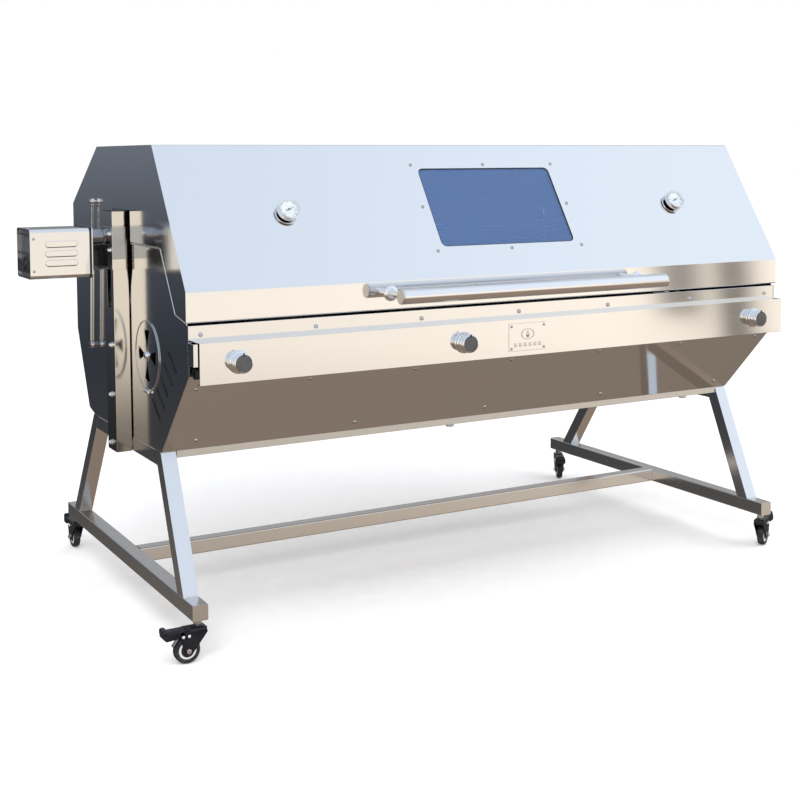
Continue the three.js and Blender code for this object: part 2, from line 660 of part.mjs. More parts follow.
// The lid: one folded skin from front band to hinge, with end plates notched round the spit posts.
function lidShell() {
  const skin = [
    [-DEPTH - 1, LID_EDGE_Z],
    [-DEPTH - 1, LID_CORNER_Z],
    [TOP_FRONT_Y, TOP_Z],
    [TOP_BACK_Y, TOP_Z],
    [DEPTH + 1, BACK_CORNER_Z],
    [DEPTH + 1, HINGE.z + 6],
  ];
  const notch = [
    [SLOT.back + 1, HINGE.z + 6],
    [SLOT.back + 1, 1026],
    [SLOT.front - 2, 1026],
    [SLOT.front - 2, 947],
    [-272, 947],
    [-349, 812],
    [-356, 802],
    [-366, 793],
    [-378, 787],
    [-390, LID_EDGE_Z],
  ];
  const ends = prism([...skin, ...notch], "x", -LID_HALF, LID_HALF);
  const inner = folded([...skin].reverse()).slice(skin.length);
  const foot = [[inner.at(-1)[0], 860], [400, 860], [300, 700], [-300, 700], [inner.at(0)[0], 700]];
  const hollow = prism([...inner, ...foot], "x", -LID_HALF + SHEET, LID_HALF - SHEET);
  const pane = slopePlate(windowOutline(0, WINDOW.corner), -SHEET - 2, 2);
  const stems = [-DIAL.x, DIAL.x].map((x) => slopeTurned(x, DIAL.up, [[0, -5], [6, -5], [6, 5], [0, 5]], 12));
  const shell = cut(ends, hollow, pane, ...stems);
  const studs = SIDES.flatMap(({ sign }) => {
    const at = [STRUT.lidY, STRUT.lidZ];
    return [
      bar(4, "x", sign * (LID_HALF - 1), sign * (STRUT.off + 8), at, 12),
      bar(7, "x", sign * (STRUT.off + 6), sign * (STRUT.off + 9), at, 12),
    ];
  });
  return join(shell, ...studs);
}

// The thermometer: probe, threaded boss and round case.
function thermometer(x) {
  const r = DIAL.radius;
  const profile = [[0, -70], [3.2, -70], [3.2, GAP], [12, GAP], [12, 5], [r - 2, 5], [r, 8], [r, 17], [r - 3, 20], [0, 20]];
  return slopeTurned(x, DIAL.up, profile, 20);
}

// The lid's bar handle on two posts.
function lidHandle() {
  const y = -DEPTH - 1 - HANDLE.out;
  const grip = bar(HANDLE.radius, "x", FITTINGS_X - HANDLE.half, FITTINGS_X + HANDLE.half, [y, HANDLE.z], 24);
  const posts = [-1, 1].flatMap((s) => {
    const x = FITTINGS_X + s * (HANDLE.half - 24);
    return [
      bar(9, "y", y, -DEPTH - 1 - GAP, [x, HANDLE.z], 16),
      bar(15, "y", -DEPTH - 5, -DEPTH - 1 - GAP, [x, HANDLE.z], 16),
    ];
  });
  return join(grip, ...posts);
}

// One leaf of the long hinge. The leaf on the cabinet also holds the pin.
function hingeLeaf(onBody) {
  const half = HINGE.length / 2;
  const pitch = HINGE.length / HINGE.knuckles;
  const at = [HINGE.y, HINGE.z];
  const own = Array.from({ length: HINGE.knuckles }, (_, i) => i).filter((i) => (i % 2 === 0) === onBody);
  const barrels = own.map((i) => bar(HINGE.barrel, "x", -half + i * pitch + 1, -half + (i + 1) * pitch - 1, at, 12));
  const face = onBody ? DEPTH - 1 + GAP : DEPTH + 1 + GAP;
  const zs = onBody ? [HINGE.z - 32, HINGE.z] : [HINGE.z, HINGE.z + 32];
  const sheet = block([-half, half], [face, face + 1.5], zs);
  const others = Array.from({ length: HINGE.knuckles }, (_, i) => i).filter((i) => (i % 2 === 0) !== onBody);
  const reliefs = others.map((i) =>
    block([-half + i * pitch - 1, -half + (i + 1) * pitch + 1], [face - 2, face + 12], [HINGE.z - 9, HINGE.z + 9]));
  const leaf = cut(join(sheet, ...barrels), ...reliefs);
  const pin = bar(HINGE.pin, "x", -half, half, at, 12);
  const bore = bar(HINGE.pin + 0.5, "x", -half - 1, half + 1, at, 12);
  return onBody ? join(leaf, pin) : cut(leaf, bore);
}

// Where the strut's two pivots lie: its line and length with the lid shut.
const STRUT_LINE = new THREE.Vector2(STRUT.lidY - STRUT.bodyY, STRUT.lidZ - STRUT.bodyZ);

// The strut's cylinder, from its eye on the cabinet up towards the lid, open at its upper end.
function strutTube() {
  const { radius, rod } = STRUT;
  const bore = rod + 2.4;
  const length = 232;
  const profile = [[0, 12], [radius, 12], [radius, length], [bore, length], [bore, 18], [0, 18]];
  const eye = cut(bar(8, "x", -4, 4, [0, 0], 12), bar(4.5, "x", -6, 6, [0, 0], 16));
  const neck = block([-3.5, 3.5], [-4, 4], [6, 14]);
  return join(turned(profile, 12), cut(join(eye, neck), bar(4.5, "x", -6, 6, [0, 0], 16)));
}

// The strut's rod, hanging from its eye on the lid down into the cylinder.
function strutRod() {
  const reach = STRUT_LINE.length() - 32;
  const eye = cut(bar(8, "x", -4, 4, [0, 0], 12), bar(4.5, "x", -6, 6, [0, 0], 16));
  return join(bar(STRUT.rod, "z", -reach, -7, [0, 0], 12), eye);
}

for (const { name, sign } of SIDES) {
  const lean = Math.atan2(-STRUT_LINE.x, STRUT_LINE.y);
  const tube = piece(`strut_tube_${name}`, strutTube(), CHROME);
  tube.position.set(sign * STRUT.off, STRUT.bodyY, STRUT.bodyZ);
  tube.rotation.x = lean;
  const rod = piece(`strut_rod_${name}`, strutRod(), CHROME);
  rod.position.set(sign * STRUT.off, STRUT.lidY, STRUT.lidZ);
  rod.rotation.x = lean;
  piece(`thermometer_${name}`, thermometer(sign * DIAL.x), DIAL_WHITE);
}
piece("lid_shell", lidShell(), STEEL);
piece("window_glass", slopePlate(windowOutline(12, 10), -SHEET - GAP - 4, -SHEET - GAP), BLUE_GLASS);
const frameBack = -SHEET - 4 - 2 * GAP;
const clampRing = slopePlate(windowOutline(26, 10), frameBack - 2, frameBack);
piece("window_frame", cut(clampRing, slopePlate(windowOutline(-4, 10), frameBack - 3, frameBack + 1)), STEEL);
piece("lid_handle", lidHandle(), STEEL);
piece("hinge_leaf_body", hingeLeaf(true), STEEL);
piece("hinge_leaf_lid", hingeLeaf(false), STEEL);

// The origin is on the floor, under the middle of the whole machine.
const extent = new THREE.Box3().setFromObject(roaster, true);
roaster.position.set(-(extent.min.x + extent.max.x) / 2, -(extent.min.y + extent.max.y) / 2, -extent.min.z);
roaster.updateMatrixWorld(true);

export default roaster;
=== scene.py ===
"""The looks of a long gas spit roaster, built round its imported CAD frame.

All sizes in the classes are millimetres in the cabinet's own datum: x from the middle of the cabinet,
y from the spit's axis (negative towards the cook) and z from the floor.
"""

import json
import logging
import math
from contextlib import contextmanager
from dataclasses import dataclass
from enum import Enum
from typing import Any, Callable, Iterator, Sequence

import bmesh
import bpy
from mathutils import Matrix, Vector

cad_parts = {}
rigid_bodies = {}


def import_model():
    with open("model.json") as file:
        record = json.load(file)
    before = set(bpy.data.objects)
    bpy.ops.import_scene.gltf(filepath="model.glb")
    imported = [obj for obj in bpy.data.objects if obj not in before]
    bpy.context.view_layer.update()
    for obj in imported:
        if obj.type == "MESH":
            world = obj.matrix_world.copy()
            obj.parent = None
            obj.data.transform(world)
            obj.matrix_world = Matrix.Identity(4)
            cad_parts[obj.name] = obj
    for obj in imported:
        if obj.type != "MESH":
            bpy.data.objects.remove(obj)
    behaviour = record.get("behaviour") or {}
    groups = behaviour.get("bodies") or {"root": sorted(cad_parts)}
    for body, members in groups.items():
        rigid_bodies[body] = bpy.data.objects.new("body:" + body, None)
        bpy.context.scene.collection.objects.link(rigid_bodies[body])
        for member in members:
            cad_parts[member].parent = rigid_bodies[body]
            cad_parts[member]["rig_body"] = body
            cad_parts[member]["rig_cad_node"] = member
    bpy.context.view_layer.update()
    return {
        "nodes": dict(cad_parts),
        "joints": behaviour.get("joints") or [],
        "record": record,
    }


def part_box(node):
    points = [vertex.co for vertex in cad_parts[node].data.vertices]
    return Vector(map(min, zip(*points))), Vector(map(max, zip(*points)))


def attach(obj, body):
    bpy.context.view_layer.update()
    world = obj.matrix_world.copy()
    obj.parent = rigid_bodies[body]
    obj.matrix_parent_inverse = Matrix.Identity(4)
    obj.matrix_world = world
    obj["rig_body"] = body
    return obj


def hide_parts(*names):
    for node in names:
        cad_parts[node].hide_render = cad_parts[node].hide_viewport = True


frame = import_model()

LOG = logging.getLogger("roaster")
MM = 0.001
Colour = tuple[float, float, float]
Point = tuple[float, float, float]
Profile = Sequence[tuple[float, float]]
SIDES = {"left": -1, "right": 1}


# ------------------------------------------------------------------ datum
@dataclass(frozen=True)
class Datum:
    """Where the cabinet's middle and the spit's axis lie in the frame, in metres."""

    x: float
    y: float

    @classmethod
    def from_frame(cls) -> "Datum":
        """Reads the datum from the cabinet's front and the spit.

        Returns:
            The datum.
        """
        front_low, front_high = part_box("body_front")
        spit_low, spit_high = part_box("spit_rod")
        return cls((front_low.x + front_high.x) / 2, (spit_low.y + spit_high.y) / 2)

    def point(self, x: float, y: float, z: float) -> Vector:
        """A place in millimetres as a point of the frame in metres."""
        return Vector((self.x + x * MM, self.y + y * MM, z * MM))

    def facing(self, at: Point, out: Point, up: Point = (0, 0, 1)) -> Matrix:
        """A placing that turns a piece's +Z to a direction.

        Args:
            at: The piece's origin, in millimetres.
            out: The direction its +Z takes.
            up: The direction its +Y takes, as nearly as it can.

        Returns:
            The placing as a matrix in metres.
        """
        z = Vector(out).normalized()
        x = Vector(up).cross(z)
        if x.length < 1e-6:
            x = Vector((1, 0, 0))
        x.normalize()
        y = z.cross(x)
        turn = Matrix((x, y, z)).transposed().to_4x4()
        return Matrix.Translation(self.point(*at)) @ turn


DATUM = Datum.from_frame()
BODY_OF = {
    node: body for body, nodes in frame["record"]["behaviour"]["bodies"].items() for node in nodes
}


# ------------------------------------------------------------------ shader maths
class Wire:
    """A shader value that takes Python arithmetic."""

    def __init__(self, shader: "Shader", socket: bpy.types.NodeSocket) -> None:
        """Keeps the shader and the output socket that carries the value."""
        self.shader = shader
        self.socket = socket

    def _math(self, operation: str, a: Any, b: Any) -> "Wire":
        """Adds one Math node on two values."""
        return self.shader.node(
            "ShaderNodeMath", {"operation": operation}, {0: a, 1: b}
        ).wire("Value")

    def __add__(self, other: Any) -> "Wire":
        """Sum."""
        return self._math("ADD", self, other)

    def __radd__(self, other: Any) -> "Wire":
        """Sum with a number first."""
        return self._math("ADD", other, self)

    def __sub__(self, other: Any) -> "Wire":
        """Difference."""
        return self._math("SUBTRACT", self, other)

    def __rsub__(self, other: Any) -> "Wire":
        """Difference with a number first."""
        return self._math("SUBTRACT", other, self)

    def __mul__(self, other: Any) -> "Wire":
        """Product."""
        return self._math("MULTIPLY", self, other)

    def __rmul__(self, other: Any) -> "Wire":
        """Product with a number first."""
        return self._math("MULTIPLY", other, self)

    def step(self, low: float, high: float) -> "Wire":
        """A smooth step from 0 at low to 1 at high.

        Args:
            low: The value where the step starts.
            high: The value where it ends.

        Returns:
            The step as a wire.
        """
        settings = {"interpolation_type": "SMOOTHSTEP"}
        inputs = {"Value": self, "From Min": low, "From Max": high}
        return self.shader.node("ShaderNodeMapRange", settings, inputs).wire("Result")


class Made:
    """A node just added, whose outputs can be taken as wires."""

    def __init__(self, shader: "Shader", node: bpy.types.Node) -> None:
        """Keeps the shader and the node."""
        self.shader = shader
        self.node = node

    def wire(self, output: str) -> Wire:
        """The named output."""
        return Wire(self.shader, self.node.outputs[output])


class Shader:
    """A node tree in the making."""

    def __init__(self, tree: bpy.types.NodeTree) -> None:
        """Starts from an empty tree."""
        self.tree = tree
        tree.nodes.clear()

    def node(
        self,
        kind: str,
        settings: dict[str, Any] | None = None,
        inputs: dict[Any, Any] | None = None,
    ) -> Made:
        """Adds a node.

        Args:
            kind: The node's type.
            settings: Its own settings, set first; "stops" are a ramp's (place, colour) pairs.
            inputs: Values or wires for its sockets.

        Returns:
            The node, ready to take outputs from.
        """
        made = self.tree.nodes.new(kind)
        for key, value in (settings or {}).items():
            if key == "stops":
                self._stops(made.color_ramp, value)
            else:
                setattr(made, key, value)
        for key, value in (inputs or {}).items():
            self.feed(made.inputs[key], value)
        return Made(self, made)

    def feed(self, socket: bpy.types.NodeSocket, value: Any) -> None:
        """Links a wire to a socket, or sets a plain value on it.

        Args:
            socket: The socket to feed.
            value: A wire, a number or a colour.
        """
        if isinstance(value, Wire):
            self.tree.links.new(value.socket, socket)
        elif isinstance(value, tuple) and len(value) == 3 and socket.type == "RGBA":
            socket.default_value = (*value, 1)
        else:
            socket.default_value = value

    @staticmethod
    def _stops(ramp: bpy.types.ColorRamp, stops: Sequence[tuple[float, Colour]]) -> None:
        """Sets a ramp's stops.

        Args:
            ramp: The ramp to set.
            stops: Pairs of place and colour, in order.
        """
        while len(ramp.elements) > 1:
            ramp.elements.remove(ramp.elements[-1])
        ramp.elements[0].position = stops[0][0]
        ramp.elements[0].color = (*stops[0][1], 1)
        for place, colour in stops[1:]:
            ramp.elements.new(place).color = (*colour, 1)

    def mix(self, factor: Any, a: Any, b: Any) -> Wire:
        """A blend of two colours.

        Args:
            factor: The share of the second colour.
            a: The first colour.
            b: The second colour.

        Returns:
            The blend.
        """
        made = self.node("ShaderNodeMix", {"data_type": "RGBA"})
        self.feed(made.node.inputs["Factor"], factor)
        self.feed(made.node.inputs[6], a)
        self.feed(made.node.inputs[7], b)
        return Wire(self, made.node.outputs[2])

    def place(
        self, scale: Point = (1, 1, 1), at: Point = (0, 0, 0), turn: Point = (0, 0, 0)
    ) -> Wire:
        """The piece's own coordinates, stretched by scale about a point.

        Args:
            scale: The stretch along each axis.
            at: The shift.
            turn: The turn about each axis.

        Returns:
            The coordinates.
        """
        own = self.node("ShaderNodeTexCoord").wire("Object")
        inputs = {"Vector": own, "Location": at, "Rotation": turn, "Scale": scale}
        return self.node("ShaderNodeMapping", {}, inputs).wire("Vector")

    def noise(self, vector: Wire, scale: float, detail: float = 2) -> Wire:
        """Soft noise from 0 to 1."""
        inputs = {"Vector": vector, "Scale": scale, "Detail": detail}
        return self.node("ShaderNodeTexNoise", {}, inputs).wire("Fac")

    def bump(self, height: Wire, strength: float, distance: float) -> Wire:
        """A normal from a height."""
        inputs = {"Height": height, "Strength": strength, "Distance": distance}
        return self.node("ShaderNodeBump", {}, inputs).wire("Normal")


class Grain(Enum):
    """Which way a sheet was brushed, as the stretch of its noise."""

    ALONG_X = (0.9, 70.0, 70.0)
    ALONG_Y = (70.0, 0.9, 70.0)
    ALONG_Z = (70.0, 70.0, 0.9)
    POLISHED = (6.0, 6.0, 6.0)


class Finish:
    """What all finishes share: one material, made when it is first asked for."""

    name: str

    def material(self) -> bpy.types.Material:
        """The finish as a material.

        Returns:
            The material.
        """
        found = bpy.data.materials.get(self.name)
        if found:
            return found
        made = bpy.data.materials.new(self.name)
        made.use_nodes = True
        shader = Shader(made.node_tree)
        surface = self.surface(shader)
        shader.node("ShaderNodeOutputMaterial", {}, {"Surface": surface})
        return made

    def surface(self, shader: Shader) -> Wire:
        """Builds the shader's nodes and returns its surface."""
        raise NotImplementedError


@dataclass(frozen=True)
class Steel(Finish):
    """Stainless sheet or tube, brushed along one way."""

    name: str
    grain: Grain
    tone: Colour = (0.80, 0.80, 0.80)
    roughness: float = 0.24
    streak: float = 0.04
    relief: float = 0.010
    mottle: float = 0.02
    # Height in metres below which shade is painted into the colour; 0 paints none.
    painted_shade_below: float = 0.0

    def surface(self, shader: Shader) -> Wire:
        """Metal whose colour, gloss and relief follow long brush marks and faint handling marks;
        below a set height its colour darkens into painted shade.

        Args:
            shader: The material's shader.

        Returns:
            The surface.
        """
        brushed = shader.place(self.grain.value)
        fine = shader.noise(brushed, 9, 4)
        broad = shader.noise(brushed, 1.1, 2)
        handled = shader.noise(shader.place(), 3.1, 3)
        low = tuple((1 - self.mottle) * c for c in self.tone)
        high = tuple(min(1.0, (1 + self.mottle) * c) for c in self.tone)
        colour = shader.mix(fine * 0.5 + broad * 0.5, low, high)
        # Painted shade: below the given height the colour fades to about a third of the tone.
        if self.painted_shade_below:
            height = shader.node("ShaderNodeSeparateXYZ", {}, {"Vector": shader.place()}).wire("Z")
            painted_shade_tone = tuple(0.36 * c for c in self.tone)
            colour = shader.mix(
                height.step(self.painted_shade_below - 0.30, self.painted_shade_below), painted_shade_tone, colour
            )
        rough = self.roughness + (fine - 0.5) * self.streak + (handled - 0.5) * (0.6 * self.streak)
        normal = shader.bump(fine * 0.7 + broad * 0.3, self.relief, 0.0004)
        inputs = {"Base Color": colour, "Metallic": 1.0, "Roughness": rough, "Normal": normal}
        return shader.node("ShaderNodeBsdfPrincipled", {}, inputs).wire("BSDF")


@dataclass(frozen=True)
class Polished(Finish):
    """Bright metal: chrome, zinc or oiled steel, with finger marks in its gloss."""

    name: str
    tone: Colour = (0.86, 0.87, 0.89)
    roughness: float = 0.09
    marks: float = 0.08

    def surface(self, shader: Shader) -> Wire:
        """Metal whose gloss is broken by faint marks.

        Args:
            shader: The material's shader.

        Returns:
            The surface.
        """
        cloudy = shader.noise(shader.place(), 38, 3)
        specks = shader.noise(shader.place(), 420, 2)
        low = tuple(0.95 * c for c in self.tone)
        inputs = {
            "Base Color": shader.mix(cloudy, low, self.tone),
            "Metallic": 1.0,
            "Roughness": self.roughness + (cloudy - 0.45) * self.marks,
            "Normal": shader.bump(specks, 0.02, 0.0002),
        }
        return shader.node("ShaderNodeBsdfPrincipled", {}, inputs).wire("BSDF")


@dataclass(frozen=True)
class Moulded(Finish):
    """Plastic, rubber or paint with a fine grain and faint lighter dusty patches."""

    name: str
    tone: Colour
    roughness: float
    grain_scale: float = 900
    relief: float = 0.12
    coat: float = 0.0
    glow: float = 0.0
    shine: float = 0.5

    def surface(self, shader: Shader) -> Wire:
        """A dielectric with a grained relief and slightly uneven colour.

        Args:
            shader: The material's shader.

        Returns:
            The surface.
        """
        grain = shader.noise(shader.place(), self.grain_scale, 3)
        worn = shader.noise(shader.place(), 22, 4)
        light = tuple(min(1.0, 1.35 * c + 0.006) for c in self.tone)
        inputs = {
            "Base Color": shader.mix(worn.step(0.35, 0.8), self.tone, light),
            "Roughness": self.roughness + (worn - 0.5) * 0.16,
            "Normal": shader.bump(grain, self.relief, 0.0004),
            "Coat Weight": self.coat,
            "Coat Roughness": 0.12,
            "Specular IOR Level": self.shine,
            "Emission Color": (1.0, 1.0, 1.0),
            "Emission Strength": self.glow,
        }
        return shader.node("ShaderNodeBsdfPrincipled", {}, inputs).wire("BSDF")


@dataclass(frozen=True)
class Glazing(Finish):
    """Tinted or clear glass."""

    name: str
    tone: Colour
    cover: float
    roughness: float = 0.03

    def surface(self, shader: Shader) -> Wire:
        """Glossy glass whose tint covers part of what is behind it.

        Args:
            shader: The material's shader.

        Returns:
            The surface.
        """
        film = shader.noise(shader.place((1, 3, 1)), 5, 3)
        inputs = {
            "Base Color": shader.mix(film, self.tone, tuple(1.12 * c for c in self.tone)),
            "Roughness": self.roughness + film * 0.05,
            "Alpha": self.cover,
            "Coat Weight": 1.0,
            "Coat Roughness": 0.02,
        }
        return shader.node("ShaderNodeBsdfPrincipled", {}, inputs).wire("BSDF")


@dataclass(frozen=True)
class HeatTinted(Finish):
    """Burner tube: steel blued and browned by fire, with its row of flame ports."""

    name: str
    pitch: float = 0.012

    def surface(self, shader: Shader) -> Wire:
        """Metal with soot and temper colours, and along its top the ports painted near-black as
        painted shade, with a bump.

        Args:
            shader: The material's shader.

        Returns:
            The surface.
        """
        own = shader.node("ShaderNodeTexCoord").wire("Object")
        split = shader.node("ShaderNodeSeparateXYZ", {}, {"Vector": own})
        along = shader.node(
            "ShaderNodeMath", {"operation": "PINGPONG"}, {0: split.wire("X"), 1: self.pitch / 2}
        )
        across = shader.node(
            "ShaderNodeMath", {"operation": "ABSOLUTE"}, {0: split.wire("Y") - DATUM.y}
        )
        near = along.wire("Value") + across.wire("Value") * 1.2
        # The ports are painted shade: near-black spots with a bump, not holes.
        port = 1 - near.step(0.0012, 0.0022)
        port = port * split.wire("Z").step(0.565, 0.568)
        heat = shader.noise(shader.place((5, 30, 30)), 1.6, 4)
        stops = [
            (0.2, (0.16, 0.12, 0.10)),
            (0.45, (0.36, 0.30, 0.22)),
            (0.62, (0.30, 0.27, 0.34)),
            (0.85, (0.42, 0.40, 0.38)),
        ]
        tint = shader.node("ShaderNodeValToRGB", {"stops": stops}, {"Fac": heat}).wire("Color")
        inputs = {
            "Base Color": shader.mix(port, tint, (0.01, 0.01, 0.01)),
            "Metallic": 0.9,
            "Roughness": 0.42 + heat * 0.2,
            "Normal": shader.bump(1 - port, 0.5, 0.001),
        }
        return shader.node("ShaderNodeBsdfPrincipled", {}, inputs).wire("BSDF")


@dataclass(frozen=True)
class Tyre(Finish):
    """Soft tread: black, matt, with scuffs."""

    name: str = "tyre_rubber"

    def surface(self, shader: Shader) -> Wire:
        """Rubber with dusty scuffs.

        Args:
            shader: The material's shader.

        Returns:
            The surface.
        """
        scuff = shader.noise(shader.place(), 75, 5)
        pores = shader.noise(shader.place(), 1500, 2)
        inputs = {
            "Base Color": shader.mix(
                scuff.step(0.5, 0.85), (0.017, 0.017, 0.018), (0.10, 0.095, 0.09)
            ),
            "Roughness": 0.62 + scuff * 0.25,
            "Normal": shader.bump(pores, 0.2, 0.0003),
        }
        return shader.node("ShaderNodeBsdfPrincipled", {}, inputs).wire("BSDF")


SHEET = Steel("sheet_brushed_along", Grain.ALONG_X, (0.80, 0.80, 0.795), 0.062, 0.02, 0.006)
# Dark steel for painted shade on the inside faces of the cabinet and lid.
INSIDE_SHADE = Steel("inside_painted_shade", Grain.ALONG_X, (0.17, 0.165, 0.16), 0.36, 0.10, 0.02, 0.15)
LID_SHEET = Steel("lid_brushed_along", Grain.ALONG_X, (0.84, 0.84, 0.84), 0.068, 0.02, 0.004, 0.006)
END_SHEET = Steel("end_sheet_polished", Grain.POLISHED, (0.78, 0.79, 0.80), 0.12, 0.04, 0.002)
# The posts' steel carries painted shade, darker towards the bottom.
POST_STEEL = Steel(
    "post_brushed_upright", Grain.ALONG_Z, (0.84, 0.80, 0.73), 0.14, painted_shade_below=0.74
)
GALVANISED = Steel("clamp_galvanised", Grain.ALONG_Z, (0.55, 0.55, 0.54), 0.30, 0.08, 0.02, 0.05)
# Pale rough steel for the painted highlight line along the lid's end seams.
SEAM_HIGHLIGHT_STEEL = Steel("seam_painted_highlight", Grain.ALONG_Z, (0.86, 0.85, 0.82), 0.30)
TUBE_X = Steel("tube_brushed_along_x", Grain.ALONG_X, (0.80, 0.79, 0.78), 0.20)
TUBE_Y = Steel("tube_brushed_along_y", Grain.ALONG_Y, (0.78, 0.78, 0.78), 0.20)
TUBE_Z = Steel("tube_brushed_up", Grain.ALONG_Z, (0.82, 0.82, 0.82), 0.18)
PAN_STEEL = Steel("pan_mill_finish", Grain.ALONG_Y, (0.72, 0.71, 0.69), 0.36, 0.10, 0.02, 0.05)
BAR_STEEL = Steel("handle_satin", Grain.ALONG_X, (0.88, 0.87, 0.87), 0.15)
CHROME = Polished("chrome_plate")
ZINC = Polished("zinc_screw", (0.62, 0.62, 0.63), 0.13, 0.10)
SATIN_CAP = Polished("satin_end_cap", (0.72, 0.69, 0.64), 0.42, 0.12)
OILED = Polished("oiled_collar", (0.34, 0.35, 0.38), 0.22, 0.10)
BLACK = Moulded("black_moulding", (0.022, 0.022, 0.025), 0.38)
GLOSS_BLACK = Moulded(
    "black_gloss_moulding", (0.006, 0.006, 0.010), 0.16, 500, 0.03, 0.0, 0.0, 0.42
)
KNOB_BLACK = Moulded("knob_face", (0.055, 0.054, 0.055), 0.34, 700, 0.10)
CAP_GREY = Moulded("motor_cap_grained", (0.06, 0.061, 0.065), 0.42)
# Black rubber for the motor gasket and dial case; also used as the painted shade line round the
# window.
GASKET_AND_PAINTED_SHADE = Moulded("gasket_rubber_and_painted_shade", (0.014, 0.014, 0.015), 0.7)
# Black paint for the manifold, gear motor and pipe nut; also used as painted shade in slots and
# louvre mouths.
STOVE_BLACK_AND_PAINTED_SHADE = Moulded("stove_black_and_painted_shade", (0.012, 0.012, 0.012), 0.75, 260, 0.3, 0.0, 0.0, 0.12)
HUB_GREY = Moulded("hub_nylon", (0.62, 0.62, 0.60), 0.45)
DIAL_WHITE = Moulded("dial_enamel", (0.52, 0.56, 0.59), 0.45, 1400, 0.02)
DIAL_INK = Moulded("dial_ink", (0.02, 0.02, 0.03), 0.5)
DIAL_GREEN = Moulded("dial_green", (0.24, 0.50, 0.40), 0.5)
WINDOW_GLASS = Glazing("window_blue_glass", (0.120, 0.225, 0.480), 0.34)
LENS = Glazing("dial_lens", (0.85, 0.9, 0.95), 0.10)
BURNER_STEEL = HeatTinted("burner_heat_tinted")
TYRE = Tyre()


# ------------------------------------------------------------------ modelling bench
def activate(piece: bpy.types.Object) -> None:
    """Leaves one piece selected and active, in object mode.

    Args:
        piece: The piece to select.
    """
    if bpy.context.object and bpy.context.object.mode != "OBJECT":
        bpy.ops.object.mode_set(mode="OBJECT")
    bpy.ops.object.select_all(action="DESELECT")
    piece.select_set(True)
    bpy.context.view_layer.objects.active = piece


@contextmanager
def shaping(
    piece: bpy.types.Object, kind: str = "ALL", test: Callable[[Any], bool] | None = None
) -> Iterator[None]:
    """Edit mode with the wanted faces or edges selected.

    Args:
        piece: The piece to shape.
        kind: ALL, FACE or EDGE.
        test: Takes a bmesh face or edge and says whether it is wanted.
    """
    activate(piece)
    bpy.ops.object.mode_set(mode="EDIT")
    bpy.ops.mesh.select_mode(type="VERT" if kind == "ALL" else kind)
    bpy.ops.mesh.select_all(action="SELECT" if kind == "ALL" else "DESELECT")
    if kind != "ALL":
        mesh = bmesh.from_edit_mesh(piece.data)
        for element in mesh.faces if kind == "FACE" else mesh.edges:
            element.select_set(test(element))
        mesh.select_flush_mode()
        bmesh.update_edit_mesh(piece.data)
    yield
    bpy.ops.object.mode_set(mode="OBJECT")


def newly_added(name: str) -> bpy.types.Object:
    """Names the primitive just added and puts its place into its mesh.

    Args:
        name: The name for the object and its mesh.

    Returns:
        The added piece.
    """
    piece = bpy.context.object
    piece.name = name
    piece.data.name = name
    bpy.ops.object.transform_apply(location=True, rotation=True, scale=True)
    return piece


def block(
    name: str, low: Point, high: Point, edge: float = 0.0, steps: int = 2
) -> bpy.types.Object:
    """A rounded block between two corners, in millimetres about its own origin.

    Args:
        name: The piece's name.
        low: The corner with the least x, y and z.
        high: The corner with the greatest x, y and z.
        edge: Radius of the edges; 0 leaves them sharp.
        steps: Segments across each rounded edge.

    Returns:
        The block.
    """
    bpy.ops.object.select_all(action="DESELECT")
    centre = [(a + b) / 2 * MM for a, b in zip(low, high, strict=True)]
    size = [abs(b - a) * MM for a, b in zip(low, high, strict=True)]
    bpy.ops.mesh.primitive_cube_add(size=1, location=centre, scale=size)
    piece = newly_added(name)
    if edge:
        with shaping(piece):
            bpy.ops.mesh.bevel(offset=edge * MM, segments=steps, affect="EDGES")
    return piece


def turned(name: str, profile: Profile, sides: int = 48, ring: bool = False) -> bpy.types.Object:
    """A profile of (radius, height) turned about +Z, by extruding and resizing a circle.

    Args:
        name: The piece's name.
        profile: Points in millimetres; a solid starts and ends on flat caps.
        sides: Sides of the circle.
        ring: Closes the profile on itself, for a piece with a bore.

    Returns:
        The closed piece.
    """
    bpy.ops.object.select_all(action="DESELECT")
    radius, height = profile[0]
    fill = "NOTHING" if ring else "NGON"
    bpy.ops.mesh.primitive_circle_add(
        vertices=sides, radius=radius * MM, location=(0, 0, height * MM), fill_type=fill
    )
    piece = newly_added(name)
    rest = [*profile[1:], profile[0]] if ring else profile[1:]
    with shaping(piece):
        for next_radius, next_height in rest:
            rise = {"value": (0, 0, (next_height - height) * MM)}
            bpy.ops.mesh.extrude_region_move(TRANSFORM_OT_translate=rise)
            share = next_radius / radius
            bpy.ops.transform.resize(
                value=(share, share, 1), center_override=(0, 0, next_height * MM)
            )
            radius, height = next_radius, next_height
        bpy.ops.mesh.select_all(action="SELECT")
        bpy.ops.mesh.remove_doubles(threshold=1e-6)
        bpy.ops.mesh.normals_make_consistent(inside=False)
    return piece


def hexagon(name: str, across: float, height: float) -> bpy.types.Object:
    """A hex nut or bolt head with a chamfered top."""
    radius = across / math.sqrt(3)
    return turned(name, [(radius, 0), (radius, height - 0.8), (radius - 0.9, height)], 6)


def placed(piece: bpy.types.Object, placing: Matrix) -> bpy.types.Object:
    """Moves a piece to its place and puts that place into its mesh.

    Args:
        piece: The piece to move.
        placing: Where it goes, in metres.

    Returns:
        The piece.
    """
    activate(piece)
    piece.matrix_world = placing
    bpy.ops.object.transform_apply(location=True, rotation=True, scale=True)
    return piece


